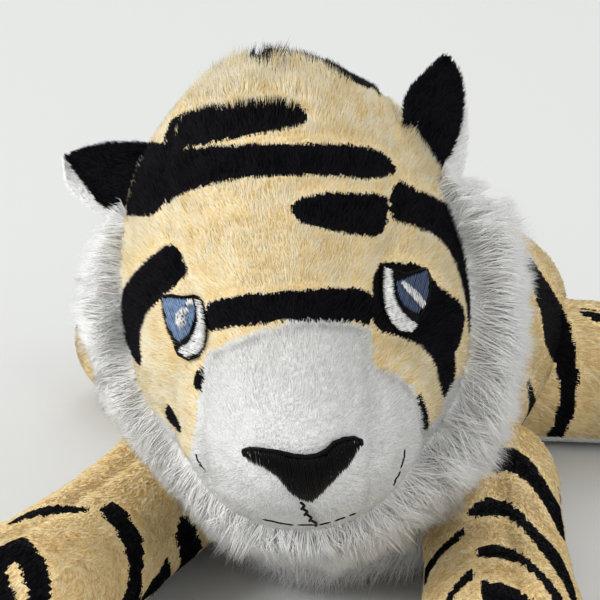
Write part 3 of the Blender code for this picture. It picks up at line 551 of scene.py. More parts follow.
spine_line = np.array([torso_at(along / 1000, 0) for along in range(-40, 58, 2)])
places = drawn_in(torso_skin, [spine_line], SPINE_VALLEY)
chest_share = np.exp(-(places[:, 0] / CHEST_SWELL_REACH[0]) ** 2
                     - ((places[:, 2] - CHEST_SWELL_HEIGHT) / CHEST_SWELL_REACH[1]) ** 2)
places[:, 1] -= CHEST_SWELL * chest_share * (places[:, 1] < 0)
move_points(torso_skin, lie_flat(places))

FLANK_SHOWN_FROM = 505            # the flank shows beside the ruff, from here on across the photograph
FLANK_RUN_OUT = 0.03              # how fast the unseen stripes narrow there as the flank comes into sight
TORSO_PATCHES = (
    ((523, 254), (531, 256), (541, 274), (559, 299), (570, 324), (577, 352), (579, 386), (574, 416),
     (562, 440), (548, 456), (538, 460), (535, 454), (549, 434), (558, 410), (561, 384), (556, 366),
     (547, 350), (544, 336), (541, 312), (533, 290), (524, 270)),
    ((526, 374), (533, 388), (537, 404), (532, 424), (523, 440), (508, 436), (503, 429), (518, 429),
     (526, 419), (530, 404), (527, 388)),
)
torso_stripes = [
    torso_stroke((-33, 8, 2.5), (-32, 32, 5), (-28, 62, 4.5), (-26, 88, 2)),
    torso_stroke((-20, -4, 2), (-19, 18, 5), (-17, 34, 5.5)),
    torso_stroke((-2, 6, 2.5), (-1, 30, 6), (3, 62, 6), (6, 98, 2)),
    torso_stroke((12, -6, 2), (13, 22, 5), (16, 48, 5.5), (16, 80, 4), (14, 104, 2)),
    torso_stroke((27, 4, 2.5), (29, 34, 6), (33, 66, 6), (34, 96, 3)),
    torso_stroke((42, -5, 2.5), (43, 26, 5.5), (46, 56, 5), (46, 82, 2)),
    torso_stroke((54, 4, 3), (54, 36, 4.5), (53, 66, 3)),
    torso_stroke((-34, -6, 2.5), (-32, -34, 5), (-30, -66, 4.5), (-30, -90, 2)),
    torso_stroke((-17, -2, 2), (-16, -28, 5.5), (-12, -62, 5.5), (-10, -96, 2)),
    torso_stroke((-5, -14, 2), (-3, -40, 5), (2, -70, 5), (3, -92, 2)),
    torso_stroke((11, 2, 2.5), (12, -30, 6), (17, -64, 6), (18, -98, 2)),
    torso_stroke((24, -10, 2), (27, -36, 5), (31, -62, 4.5), (31, -84, 2)),
    torso_stroke((37, 3, 2.5), (39, -28, 6), (43, -60, 6), (43, -92, 3)),
    torso_stroke((51, -6, 3), (52, -38, 4.5), (52, -68, 3)),
]


def outside_torso_black(places):
    """How far each place lies outside the torso's stripes. Where the photograph shows the flank, the unseen
    stripes run out to points."""
    shown = photo_points(places)[:, 0] > FLANK_SHOWN_FROM
    run_out = np.where(shown, FLANK_RUN_OUT * np.maximum(facing_camera(places, torso_surface), 0), 0)
    return np.minimum(outside_strokes(places, torso_stripes) + run_out,
                      outside_patches(places, torso_surface, TORSO_PATCHES))


def on_chest(places, top):
    ahead = (places[:, 1] < CHEST_FRONT) & (np.abs(places[:, 0]) < CHEST_HALF_WIDTH)
    return ahead & (places[:, 2] < top)


def torso_colour(places):
    black = outside_torso_black(places) < 0
    belly = places[:, 2] < BELLY_SEAM_HEIGHT
    return np.where(belly | on_chest(places, CHEST_TOP), WHITE_GROUND,
                    np.where(black, BLACK_GROUND, TAN_GROUND))


def torso_pile_length(places):
    pressed = places[:, 2] < UNDERSIDE_HEIGHT
    return np.where(pressed, PRESSED_PILE, TORSO_PILE) * edge_share(outside_torso_black(places))


def grow_pile(name, skin, colour_of, per_square_mm, combing, length, radius, sides=(0,), points=2,
              keep=None, lift=0.5, depth=MEAN_DEPTH):
    """The pile of a skin, in one piece or in a left and a right one. What it is combed along, its length and
    its colour are fields over the skin."""
    places, normals = scatter(skin, per_square_mm)
    if keep is not None:
        kept = keep(places)
        places, normals = places[kept], normals[kept]
    spines = combed(places, normals, field(combing, places), field(length, places), lift, points)
    colour = field(colour_of, places * 0.4 + spines[:, -1] * 0.6)
    spines = lie_flat(spines.reshape(-1, 3)).reshape(spines.shape)
    shades = shade_of(places, colour, depth)
    radii = radius * chance.uniform(0.7, 1.25, len(places))
    grown = []
    for side in sides:
        here = places[:, 0] * side >= 0
        suffix = {0: "", 1: "_left", -1: "_right"}[side]
        grown.append(hairs(name + suffix, spines[here], radii[here], shades[here]))
    return grown


def dress(piece, body, finish, *nodes, fill=None):
    """Rides a finished piece on its body and hides the parts of the frame that it replaces."""
    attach(piece, body)
    if nodes:
        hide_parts(*nodes)


paint_ground(torso_skin, torso_colour)
dress(torso_skin, "torso", "striped_plush", "back_panel_left", "back_panel_right", "belly_panel",
      "torso_stuffing", fill=0.75)
for pile in grow_pile("torso_pile", torso_skin, torso_colour, per_square_mm=5.2, combing=(0, 1.0, -0.25),
                      length=torso_pile_length, radius=0.00013, sides=(1, -1), lift=LYING_LIFT,
                      depth=BODY_PAINTED_SHADE_DEPTH):
    dress(pile, "torso", "striped_plush")


def chest_combing(places):
    """The chest's long hairs fall forward and down, and part to both sides."""
    return np.stack([places[:, 0] * 14, np.full(len(places), -0.9), np.full(len(places), -0.5)], axis=1)


chest_pile = grow_pile("chest_pile", torso_skin, WHITE_GROUND, per_square_mm=5, combing=chest_combing,
                       length=CHEST_PILE, radius=0.00011, points=3,
                       keep=lambda places: on_chest(places, CHEST_PILE_TOP), lift=0.9)[0]
dress(chest_pile, "torso", "long_white_pile")


# Neck: a stuffed ball of white plush. The ruff hides it.
NECK_MIDDLE = np.array((0, -0.0360, 0.0310))
NECK_RADIUS = 0.0115
NECK_RINGS = 40
NECK_PILE = 0.0022

neck_directions = sphere_directions(NECK_RINGS, NECK_RINGS)
neck_skin = ringed_skin("neck_skin", neck_directions * (NECK_RADIUS - PILE_DEPTH) + NECK_MIDDLE)
paint_ground(neck_skin, WHITE_GROUND)
dress(neck_skin, "neck", "stuffing", "neck_stuffing", fill=0.8)
neck_pile = grow_pile("neck_pile", neck_skin, WHITE_GROUND, per_square_mm=3, combing=(0, 0.3, -0.6),
                      length=NECK_PILE, radius=0.00014)[0]
dress(neck_pile, "neck", "white_plush")


# Head: a stuffed skull and muzzle. A wide striped gusset runs over the forehead between two striped side
# panels, and the muzzle is of short white plush. Eyes, nose and mouth are embroidered on it.
HEAD_MIDDLE = np.array((0, -0.0620, 0.0570))
HEAD_TURN = math.radians(10)
HEAD_TILT = math.radians(8.5)
SKULL_HALF_WIDTH = 0.0290
SKULL_HALF_DEPTH = 0.0310
CROWN_RISE = 0.0405
JAW_DROP = 0.0350
MUZZLE_HALF_SIZES = np.array((0.0185, 0.0210, 0.0175))
MUZZLE_PLACE = np.array((0, -0.0240, -0.0100))
MUZZLE_BLEND = 9
NOSE_TIP = np.array((0, -0.0470, -0.0140))
HEAD_RINGS = 150
HEAD_SIDES = 190
HEAD_SOFTENING = 7
SEAM_DEPTH = 0.0012
SEAM_PARTING = 0.0014             # the pile is shorter this close to a seam
FACE_PILE = 0.0016
MUZZLE_PILE = 0.0011
EYE_SHORT_REACH = 0.0075          # the pile is shorter this close to the middle of an eye
NOSE_SHORT_REACH = 0.0160
CROWN_START = 0.0340              # from this height up the pile grows longer, towards the crown
CROWN_RUN = 0.0060
PIXEL = 1 / 6200                  # a pixel of the photograph at the face
FACE_BACK = -0.0060               # the muzzle and the embroidery lie ahead of this
CHIN_TOP = -0.0190
CHIN_HALF_WIDTH = 0.0185
RUFF_FORWARD = 0.0110
RUFF_SEAM_BACK = 0.0020 - RUFF_FORWARD
RUFF_LEAN_SHARE = 0.44            # how far back the ruff's seam runs for each metre that it climbs
RUFF_TOP = -0.0120                # below this the head is white under the ruff
EYE_MARKS = ((185, 326), (406, 298))

head_turned = Matrix.Rotation(HEAD_TURN, 3, "Z") @ Matrix.Rotation(-HEAD_TILT, 3, "Y")
head_axes = np.array(head_turned)

MUZZLE_OUTLINE = ((206, 352), (222, 344), (262, 328), (300, 320), (340, 320), (371, 328), (374, 366),
                  (398, 373), (415, 388), (422, 410), (425, 440), (418, 480), (400, 520), (360, 560),
                  (240, 560), (195, 520), (185, 480), (192, 440), (198, 400))
RIGHT_EYE_BED = ((160, 295), (170, 294), (182, 297), (193, 294), (202, 298), (206, 312), (208, 330),
                 (206, 346), (199, 357), (188, 360), (177, 354), (173, 344), (167, 332), (162, 314))
LEFT_EYE_BED = ((380, 263), (392, 267), (404, 272), (414, 270), (427, 267), (431, 278), (431, 294),
                (427, 307), (419, 318), (419, 328), (411, 334), (399, 333), (388, 322), (381, 301),
                (379, 280))
NOSE_OUTLINE = ((244, 449), (250, 447), (262, 449), (275, 450), (290, 455), (305, 456), (325, 453),
                (335, 442), (344, 438), (353, 437), (361, 441), (362, 446), (350, 465), (335, 480),
                (322, 494), (312, 503), (300, 500), (290, 493), (278, 478), (262, 467), (247, 462))


def to_head(places):
    """Places in the head's own frame, from its middle."""
    return (places - HEAD_MIDDLE) @ head_axes


def from_head(places):
    return places @ head_axes.T + HEAD_MIDDLE


def head_radius(towards):
    rise = np.where(towards[..., 2] > 0, CROWN_RISE, JAW_DROP)
    skull = ((towards[..., 0] / SKULL_HALF_WIDTH) ** 2 + (towards[..., 1] / SKULL_HALF_DEPTH) ** 2
             + (towards[..., 2] / rise) ** 2) ** -0.5
    scaled, offset = towards / MUZZLE_HALF_SIZES, MUZZLE_PLACE / MUZZLE_HALF_SIZES
    along, squared = scaled @ offset, (scaled ** 2).sum(axis=-1)
    inside = along ** 2 - squared * (offset @ offset - 1)
    muzzle = (along + np.sqrt(np.maximum(inside, 0))) / squared
    joined = skull * (1 + (muzzle / skull) ** MUZZLE_BLEND) ** (1 / MUZZLE_BLEND)
    return np.where((inside > 0) & (along > 0), joined, skull)


head_directions = sphere_directions(HEAD_RINGS, HEAD_SIDES)
head_rings = head_directions * (head_radius(head_directions) - PILE_DEPTH)[..., None]
for _ in range(HEAD_SOFTENING):
    beside = (np.roll(head_rings, 1, axis=1) + np.roll(head_rings, -1, axis=1)) / 2
    ahead = np.concatenate([head_rings[:1], (head_rings[:-2] + head_rings[2:]) / 2, head_rings[-1:]])
    head_rings = head_rings / 2 + beside / 4 + ahead / 4
head_skin = ringed_skin("head_skin", from_head(head_rings))
head_surface = surface_of(head_skin)


def head_at(turn, rise):
    """The head's skin, turned from its front to the left and raised from its middle, in degrees."""
    turn, rise = math.radians(turn), math.radians(rise)
    towards = np.array((math.sin(turn) * math.cos(rise), -math.cos(turn) * math.cos(rise), math.sin(rise)))
    return from_head(towards * (head_radius(towards) - PILE_DEPTH))


def head_stroke(*marks):
    """A stroke through marks (turn, rise, width), in degrees and millimetres."""
    marks = rounded(marks)
    return np.array([head_at(turn, rise) for turn, rise, _ in marks]), marks[:, 2] / 2000


HEAD_PATCHES = (
    ((168, 119), (200, 107), (236, 101), (273, 97), (295, 101), (309, 113), (302, 127), (268, 131),
     (236, 137), (209, 143), (186, 147), (176, 152), (164, 140)),
    ((168, 150), (200, 147), (250, 144), (305, 143), (345, 144), (373, 148), (391, 158), (399, 174),
     (373, 180), (336, 176), (295, 175), (255, 176), (223, 182), (191, 189), (173, 200), (165, 205),
     (165, 178)),
    ((291, 210), (298, 197), (323, 192), (355, 192), (382, 195), (392, 199), (383, 238), (355, 235),
     (327, 229), (300, 223)),
    ((393, 178), (414, 188), (436, 197), (457, 209), (470, 224), (478, 248), (482, 285), (480, 321),
     (472, 352), (469, 321), (463, 287), (456, 263), (443, 242), (427, 231), (409, 224), (389, 221)),
    ((205, 302), (236, 295), (282, 291), (327, 288), (376, 288), (373, 327), (355, 321), (305, 320),
     (259, 323), (218, 330), (205, 332)),
    ((374, 262), (400, 262), (428, 265), (436, 284), (451, 294), (463, 306), (466, 326), (459, 346),
     (455, 352), (456, 368), (453, 391), (446, 406), (441, 389), (436, 367), (427, 349), (409, 340),
     (391, 335), (372, 327)),
    ((174, 241), (185, 262), (188, 275), (174, 286), (160, 300), (146, 314), (140, 332), (140, 348),
     (142, 370), (133, 358), (122, 339), (118, 312), (124, 285), (139, 266), (158, 250)),
    ((210, 360), (212, 380), (205, 391), (191, 388), (195, 374), (202, 365)),
    ((167, 401), (176, 415), (184, 436), (173, 427), (164, 414)),
    ((419, 391), (427, 405), (430, 425), (425, 444), (419, 432), (423, 416), (418, 402)),
    ((96, 140), (126, 139), (152, 141), (178, 147), (174, 160), (167, 180), (164, 202), (158, 213),
     (142, 216), (118, 215), (98, 208), (90, 170)),
    ((252, 60), (268, 55), (290, 53), (310, 57), (330, 66), (345, 77), (360, 85), (370, 90), (388, 78),
     (372, 50), (320, 28), (270, 32), (244, 48)),
)
head_stripes = [
    head_stroke((104, 61, 3), (118, 63, 7), (134, 68, 8), (158, 73, 8), (180, 77, 7), (215, 76, 5),
                (235, 73, 3)),
    head_stroke((95, 40, 2), (120, 38, 5), (150, 40, 6), (172, 44, 3)),
    head_stroke((-100, 44, 2), (-128, 42, 5), (-158, 44, 6), (-186, 50, 3)),
    head_stroke((100, 14, 2.5), (122, 14, 6), (150, 16, 6), (176, 18, 3)),
    head_stroke((-108, 20, 2.5), (-134, 20, 6), (-160, 22, 6), (-184, 28, 3)),
    head_stroke((112, -8, 2.5), (136, -8, 5.5), (166, -6, 5), (190, -2, 2)),
    head_stroke((-106, -2, 2.5), (-130, -2, 5.5), (-156, 0, 5), (-178, 4, 2)),
]

HEAD_SEAM_MARKS = (
    ((196, 92), (166, 135), (165, 200), (180, 260), (206, 340)),
    ((206, 340), (200, 400), (200, 440), (208, 480)),
    ((396, 110), (397, 175), (385, 260), (372, 330), (374, 366), (376, 445), (372, 500)),
    ((206, 352), (262, 328), (300, 320), (340, 320), (371, 328)),
    ((374, 366), (398, 373), (415, 388), (422, 410), (425, 440)),
)
head_seams = [np.array([seen_at(head_surface, x, y)[0] for x, y in rounded(marks)])
              for marks in HEAD_SEAM_MARKS]
move_points(head_skin, drawn_in(head_skin, head_seams, SEAM_DEPTH))
head_surface = surface_of(head_skin)


def outside_black(places):
    """How far each place of the head lies outside its black stripes. Negative inside."""
    return np.minimum(outside_strokes(places, head_stripes),
                      outside_patches(places, head_surface, HEAD_PATCHES))


def head_colour(places):
    local = to_head(places)
    seen = photo_points(places) + drift_vectors(places, EDGE_WAVER_SIZE)[:, :2] * 1.5
    muzzle = (local[:, 1] < FACE_BACK) & within(seen, MUZZLE_OUTLINE)
    chin = (local[:, 2] < CHIN_TOP) & (np.abs(local[:, 0]) < CHIN_HALF_WIDTH)
    under_ruff = (local[:, 1] > RUFF_SEAM_BACK + RUFF_LEAN_SHARE * local[:, 2]) & (local[:, 2] < RUFF_TOP)
    black = outside_black(places) < 0
    return np.where(muzzle | chin | under_ruff, GREY_GROUND, np.where(black, BLACK_GROUND, TAN_GROUND))


eye_places = [np.array(seen_at(head_surface, *mark)[0]) for mark in EYE_MARKS]


def head_pile_length(places):
    length = np.where(head_colour(places) == GREY_GROUND, MUZZLE_PILE,
                      FACE_PILE * edge_share(outside_black(places)))
    crown = np.clip((to_head(places)[:, 2] - CROWN_START) / CROWN_RUN, 0, 1)
    length *= 1 + crown * (1.5 + 1.2 * drift(places, TUFT_SIZE))
    for eye in eye_places:
        near = np.linalg.norm(places - eye, axis=1) / EYE_SHORT_REACH
        length = length * np.clip(near, 0.35, 1)
    seam = gap_to_lines(places, head_seams)
    nose = np.linalg.norm(places - from_head(NOSE_TIP), axis=1)
    return length * np.clip(seam / SEAM_PARTING, 0.25, 1) * np.clip(nose / NOSE_SHORT_REACH, 0.55, 1)


def off_embroidery(places):
    """Whether no thread covers these places, so that pile stands there."""
    seen, front = photo_points(places), to_head(places)[:, 1] < FACE_BACK
    covered = np.zeros(len(places), bool)
    for outline in (LEFT_EYE_BED, RIGHT_EYE_BED, NOSE_OUTLINE):
        covered |= within(seen, outline)
    return ~(covered & front)


paint_ground(head_skin, head_colour)
dress(head_skin, "head", "striped_plush", "head_gusset", "head_side_left", "head_side_right",
      "head_nape_left", "head_nape_right", "muzzle_bridge", "muzzle_left", "muzzle_right", "chin_panel",
      "head_stuffing", fill=0.8)
for pile in grow_pile("head_pile", head_skin, head_colour, per_square_mm=9.5,
                      combing=lambda places: places - from_head(NOSE_TIP), length=head_pile_length,
                      radius=0.00010, sides=(1, -1), keep=off_embroidery, lift=0.6):
    dress(pile, "head", "striped_plush")


# Ruff: a strip of long fluffy white pile on each cheek, sewn in the seam behind the face from below the
# ear to under the chin. Its hairs stand out all round the face.
RUFF_TURNS = (0, 45, 90, 126)      # from under the chin round to the ear, in degrees
RUFF_FRONTS = (30, 15, 4, 1)       # how far forward of the head's sides the strip is sewn there, in degrees
RUFF_HALF_BREADTH = 11             # also in degrees round the head
RUFF_THICKNESS = 0.0050
RUFF_SINK = 0.0010
RUFF_THIN_TURN = 30                # over the last degrees below the ear, the strip thins out
RUFF_RINGS = 60
RUFF_SIDES = 24
RUFF_CLUMP = 0.0030
RUFF_LEAST = 0.0032                # lengths of its hairs
RUFF_MOST = 0.0130
RUFF_HAIR_RADIUS = 0.00010
HAIRS_PER_TUFT = 40
TUFT_PULL = 0.6                    # how far a hair's tip is drawn to its tuft's, 1 for all the way
RUFF_REACH = ((466, 172), (492, 178), (516, 192), (531, 224), (538, 262), (540, 305), (537, 350),
              (530, 392), (518, 432), (500, 472), (474, 502), (442, 528), (400, 552), (350, 569),
              (300, 573), (252, 566), (215, 549), (184, 516), (146, 460), (108, 418), (86, 382), (74, 335),
              (72, 285), (82, 240), (98, 212))
RUFF_CENTRE = np.array((300, 320))

ruff_marks = np.array(RUFF_REACH) - RUFF_CENTRE
ruff_turns = np.arctan2(ruff_marks[:, 0], -ruff_marks[:, 1])
ruff_order = np.argsort(ruff_turns)


def ruff_reach(seen):
    """How far from the centre of the face the ruff's tips reach, in the photograph's pixels."""
    marks = seen - RUFF_CENTRE
    return np.interp(np.arctan2(marks[:, 0], -marks[:, 1]), ruff_turns[ruff_order],
                     np.linalg.norm(ruff_marks[ruff_order], axis=1), period=2 * math.pi)


def gathered(spines, per_tuft, pull):
    """Hairs drawn into tufts, each towards the nearest of its neighbours that lead one."""
    leaders = spines[chance.permutation(len(spines))[:max(len(spines) // per_tuft, 1)]]
    tree = KDTree(len(leaders))
    for index, root in enumerate(leaders[:, 0]):
        tree.insert(root, index)
    tree.balance()
    led_by = leaders[[tree.find(root)[1] for root in spines[:, 0]]]
    share = pull * np.linspace(0, 1, spines.shape[1]) ** 1.5
    return spines + (led_by - spines) * share[None, :, None]


for side, side_name in ((1, "left"), (-1, "right")):
    around = np.linspace(RUFF_TURNS[0], RUFF_TURNS[-1], RUFF_RINGS)[:, None]
    section = np.linspace(0, 2 * math.pi, RUFF_SIDES, endpoint=False)[None, :]
    front = np.radians(np.interp(around, RUFF_TURNS, RUFF_FRONTS) + RUFF_HALF_BREADTH * np.cos(section))
    around = np.radians(around) * np.ones_like(section)
    towards = np.stack([side * np.cos(front) * np.sin(around), -np.sin(front),
                        -np.cos(front) * np.cos(around)], axis=-1)
    thinning = np.clip((RUFF_TURNS[-1] - np.degrees(around)) / RUFF_THIN_TURN, 0.15, 1)
    thickness = RUFF_THICKNESS * thinning * np.maximum(np.sin(section), -0.2)
    surface_radius = head_radius(towards) - RUFF_SINK + thickness
    base = ringed_skin("ruff_" + side_name + "_base", from_head(towards * surface_radius[..., None]))
    paint_ground(base, WHITE_GROUND)
    dress(base, "head", "long_white_pile", "ruff_" + side_name)
    places, normals = scatter(base, per_square_mm=8)
    local = to_head(places)
    distance = np.linalg.norm(local, axis=1)
    outside = distance > head_radius(local / distance[:, None]) - PILE_DEPTH
    places, normals, local = places[outside], normals[outside], local[outside]
    radial = unit(np.stack([local[:, 0], np.zeros(len(local)), local[:, 2]], axis=1)) @ head_axes.T
    heading = unit(normals * 0.35 + radial * 1.0 + drift_vectors(places, RUFF_CLUMP) * 0.5
                   + drift_vectors(places, RUFF_CLUMP * 3) * 0.3 + chance.normal(size=places.shape) * 0.25)
    seen = photo_points(places)
    outward = unit(seen - RUFF_CENTRE)
    speed = ((photo_points(places + heading * 0.001) - seen) * outward).sum(axis=1)
    length = (ruff_reach(seen) - np.linalg.norm(seen - RUFF_CENTRE, axis=1)) / np.maximum(speed, 2.5) / 1000
    length = np.clip(length, RUFF_LEAST, RUFF_MOST) * (1 + 0.22 * drift(places, RUFF_CLUMP * 1.4))
    length *= chance.uniform(0.62, 1.08, len(places))
    bend = unit(heading + np.array((0, 0.05, -0.25)) + drift_vectors(places, RUFF_CLUMP * 0.7) * 0.55)
    spines = np.stack([places, places + heading * (length * 0.5)[:, None],
                       places + (heading + bend) * (length * 0.5)[:, None]], axis=1)
    spines = gathered(spines, HAIRS_PER_TUFT, TUFT_PULL)
    shades = shade_of(places, WHITE_GROUND)
    radii = RUFF_HAIR_RADIUS * chance.uniform(0.7, 1.3, len(places))
    pile = hairs("ruff_" + side_name + "_pile", spines, radii, shades)
    dress(pile, "head", "long_white_pile")


# Ears: two leaves sewn back to back, black plush in front and white plush behind, which shows past the
# black one below. The right ear stands out to the side, the left one is folded forward and points up.
EAR_ROOT = np.array((0.0236, 0.0020, 0.0257))
EAR_FLARE = math.radians(61)
EAR_HALF_THICKNESS = 0.0008
EAR_CUP = 0.0022
EAR_LEAF_GAP = 0.0013
EAR_RINGS = 26
EAR_SIDES = 40
EAR_PILE = 0.0009
LEFT_EAR_FOLD = math.radians(34)
RIGHT_EAR_FOLD = math.radians(4)
LEFT_EAR_BLACK = (((402, 170), (404, 140), (402, 112), (404, 94), (420, 76), (441, 57)),
                  ((436, 174), (450, 152), (460, 122), (462, 92), (458, 72), (446, 57)))
LEFT_EAR_LINING = (((412, 178), (414, 150), (416, 118), (424, 92), (434, 74), (444, 60)),
                   ((452, 206), (464, 172), (469, 136), (468, 104), (462, 78), (449, 59)))
RIGHT_EAR_BLACK = (((178, 150), (150, 143), (124, 141), (100, 144), (80, 148), (66, 157)),
                   ((176, 218), (140, 215), (118, 213), (100, 203), (85, 181), (70, 161)))
RIGHT_EAR_LINING = (((178, 158), (150, 151), (124, 150), (98, 151), (76, 152), (63, 159)),
                    ((176, 240), (140, 232), (112, 221), (84, 205), (66, 188), (63, 165)))


def plane_point(x, y, spot, normal):
    """Where the camera's line of sight through a point of the photograph meets a plane."""
    line = np.array(sight_line(x, y))
    reach = ((spot - np.array(camera_spot)) @ normal) / (line @ normal)
    return np.array(camera_spot) + line * reach


def ear_leaf(name, side, fold, setback, near_edge, far_edge):
    """A cupped leaf between two edges, each drawn from the root to the tip in the photograph."""
    turned = Matrix.Rotation(side * EAR_FLARE, 3, "Y") @ Matrix.Rotation(-fold, 3, "X")
    back = head_axes @ np.array(turned)[:, 1]
    root = from_head(EAR_ROOT * np.array((side, 1, 1)))
    rings = []
    for along in np.linspace(0, 1, EAR_RINGS):
        edges = []
        for edge in (near_edge, far_edge):
            marks = rounded(edge)
            step = along * (len(marks) - 1)
            edges.append([np.interp(step, range(len(marks)), marks[:, column]) for column in (0, 1)])
        near, far = (plane_point(*edge, root, back) for edge in edges)
        turn = np.linspace(0, 2 * math.pi, EAR_SIDES, endpoint=False)[:, None]
        across = (1 - np.cos(turn)) / 2
        cup = EAR_CUP * (1 - (2 * across - 1) ** 2) * (1 - 0.6 * along)
        thickness = EAR_HALF_THICKNESS * np.sin(turn) * (1 - 0.5 * along)
        rings.append(near + (far - near) * across + back * (cup + thickness + setback))
    return ringed_skin(name, np.array(rings))


for side, side_name, fold, black_edges, lining_edges in (
        (1, "left", LEFT_EAR_FOLD, LEFT_EAR_BLACK, LEFT_EAR_LINING),
        (-1, "right", RIGHT_EAR_FOLD, RIGHT_EAR_BLACK, RIGHT_EAR_LINING)):
    for layer, edges, setback, colour, finish in (
            ("black", black_edges, -EAR_LEAF_GAP / 2, BLACK_GROUND, "black_plush"),
            ("lining", lining_edges, EAR_LEAF_GAP / 2, WHITE_GROUND, "white_plush")):
        name = "ear_" + side_name + "_" + layer
        leaf = ear_leaf(name + "_cloth", side, fold, setback, *edges)
        paint_ground(leaf, colour)
        dress(leaf, "ear_" + side_name, finish, name)
        pile = grow_pile(name + "_pile", leaf, colour, per_square_mm=11,
                         combing=lambda places: places - HEAD_MIDDLE, length=EAR_PILE, radius=0.00012)[0]
        dress(pile, "ear_" + side_name, finish)


# Embroidered face: satin stitches of thread, laid side by side over the plush. Each eye has a black bed,
# a white crescent, a blue iris and a white glint. The nose is black, the mouth is a few thread lines.
THREAD_SIDES = 6
THREAD_WIDTH = 2.0                # a satin stitch's width, in the photograph's pixels
THREAD_STEP = 1.75
BED_LIFT = 0.0002                 # heights of the threads over the skin
FACE_LIFT = 0.0006
GLINT_LIFT = 0.0010
MOUTH_LIFT = 0.0011
NOSE_RIM_LIFT = 0.0012
SEAM_LIFT = 0.0017
RIGHT_EYE_WHITE = ((194, 299), (201, 301), (204, 315), (206, 332), (203, 347), (197, 354), (187, 357),
                   (178, 352), (180, 347), (188, 343), (194, 332), (197, 321), (196, 310))
RIGHT_EYE_IRIS = ((162, 298), (172, 298), (182, 299), (192, 300), (195, 309), (194, 320), (190, 331),
                  (186, 337), (180, 342), (174, 338), (168, 325), (163, 308))
RIGHT_EYE_GLINTS = (((176, 313), (181, 308), (188, 307), (189, 312), (184, 316), (187, 324), (180, 330),
                     (175, 324)),
                    ((186, 299), (192, 299), (193, 305), (187, 306)))
RIGHT_EYE_RIM = (((161, 297), (172, 295), (182, 297), (193, 296)),
                 ((174, 346), (178, 355), (188, 360), (200, 356)))
LEFT_EYE_WHITE = ((384, 267), (392, 269), (393, 281), (394, 293), (397, 302), (402, 311), (409, 318),
                  (418, 325), (412, 332), (401, 331), (391, 322), (385, 308), (383, 290))
LEFT_EYE_IRIS = ((396, 282), (401, 280), (408, 277), (416, 274), (427, 270), (429, 281), (428, 294),
                 (424, 305), (418, 314), (411, 311), (403, 305), (398, 294))
LEFT_EYE_GLINTS = (((400, 282), (404, 281), (410, 285), (417, 291), (423, 298), (426, 304), (423, 309),
                    (418, 304), (412, 297), (406, 291)),)
LEFT_EYE_RIM = (((380, 265), (392, 269), (404, 274), (426, 268)), ((431, 282), (428, 300), (420, 316)))
NOSE_RIM = (((245, 457), (243, 451), (250, 449), (264, 450), (278, 452), (291, 455), (306, 457), (318, 455),
             (327, 450), (334, 443), (344, 439), (354, 438), (361, 441), (362, 446)),)
MOUTH_STITCHES = (
    ((300, 502), (305, 506)), ((305, 505), (301, 510)), ((302, 508), (308, 512)), ((308, 511), (304, 516)),
    ((306, 514), (312, 518)), ((312, 517), (309, 522)), ((311, 520), (317, 524)), ((316, 523), (316, 528)),
)
MUZZLE_SEAM_STITCHES = (
    ((405, 449), (404, 458), (401, 468)), ((400, 471), (396, 479), (391, 487)),
    ((195, 454), (199, 462)), ((200, 464), (205, 471)), ((262, 519), (280, 523), (294, 525)),
    ((297, 525), (316, 525)), ((318, 525), (331, 522)), ((334, 521), (346, 517)), ((349, 516), (356, 513)),
)


def thread_material(name, colour, roughness=0.38, shine=0.5):
    """Mercerised cotton: twisted fibres in slightly uneven shades."""
    material, nodes, links, shader = node_material(name)
    place = nodes.new("ShaderNodeTexCoord")
    shade = nodes.new("ShaderNodeTexNoise")
    shade.inputs["Scale"].default_value = 1500
    shade.inputs["Detail"].default_value = 3
    mixed = nodes.new("ShaderNodeValToRGB")
    mixed.color_ramp.elements[0].position = 0.3
    mixed.color_ramp.elements[0].color = (*(channel * 0.55 for channel in colour), 1)
    mixed.color_ramp.elements[1].position = 0.7
    mixed.color_ramp.elements[1].color = (*(min(channel * 1.15, 1) for channel in colour), 1)
    twist = nodes.new("ShaderNodeTexWave")
    twist.bands_direction = "DIAGONAL"
    twist.inputs["Scale"].default_value = 900
    twist.inputs["Distortion"].default_value = 1.5
    bump = nodes.new("ShaderNodeBump")
    bump.inputs["Distance"].default_value = 0.00006
    bump.inputs["Strength"].default_value = 0.6
    for texture in (shade, twist):
        links.new(place.outputs["Object"], texture.inputs["Vector"])
    links.new(shade.outputs["Fac"], mixed.inputs["Fac"])
    links.new(mixed.outputs["Color"], shader.inputs["Base Color"])
    links.new(twist.outputs["Fac"], bump.inputs["Height"])
    links.new(bump.outputs["Normal"], shader.inputs["Normal"])
    shader.inputs["Roughness"].default_value = roughness
    shader.inputs["Specular IOR Level"].default_value = shine
    return material


BLACK_THREAD = thread_material("black_thread", (0.0015, 0.001, 0.0015), 0.36, 0.10)
WHITE_THREAD = thread_material("white_thread", (0.80, 0.80, 0.79))
LIGHT_BLUE_THREAD = thread_material("light_blue_thread", (0.19, 0.30, 0.50))
DEEP_BLUE_THREAD = thread_material("deep_blue_thread", (0.045, 0.075, 0.16))


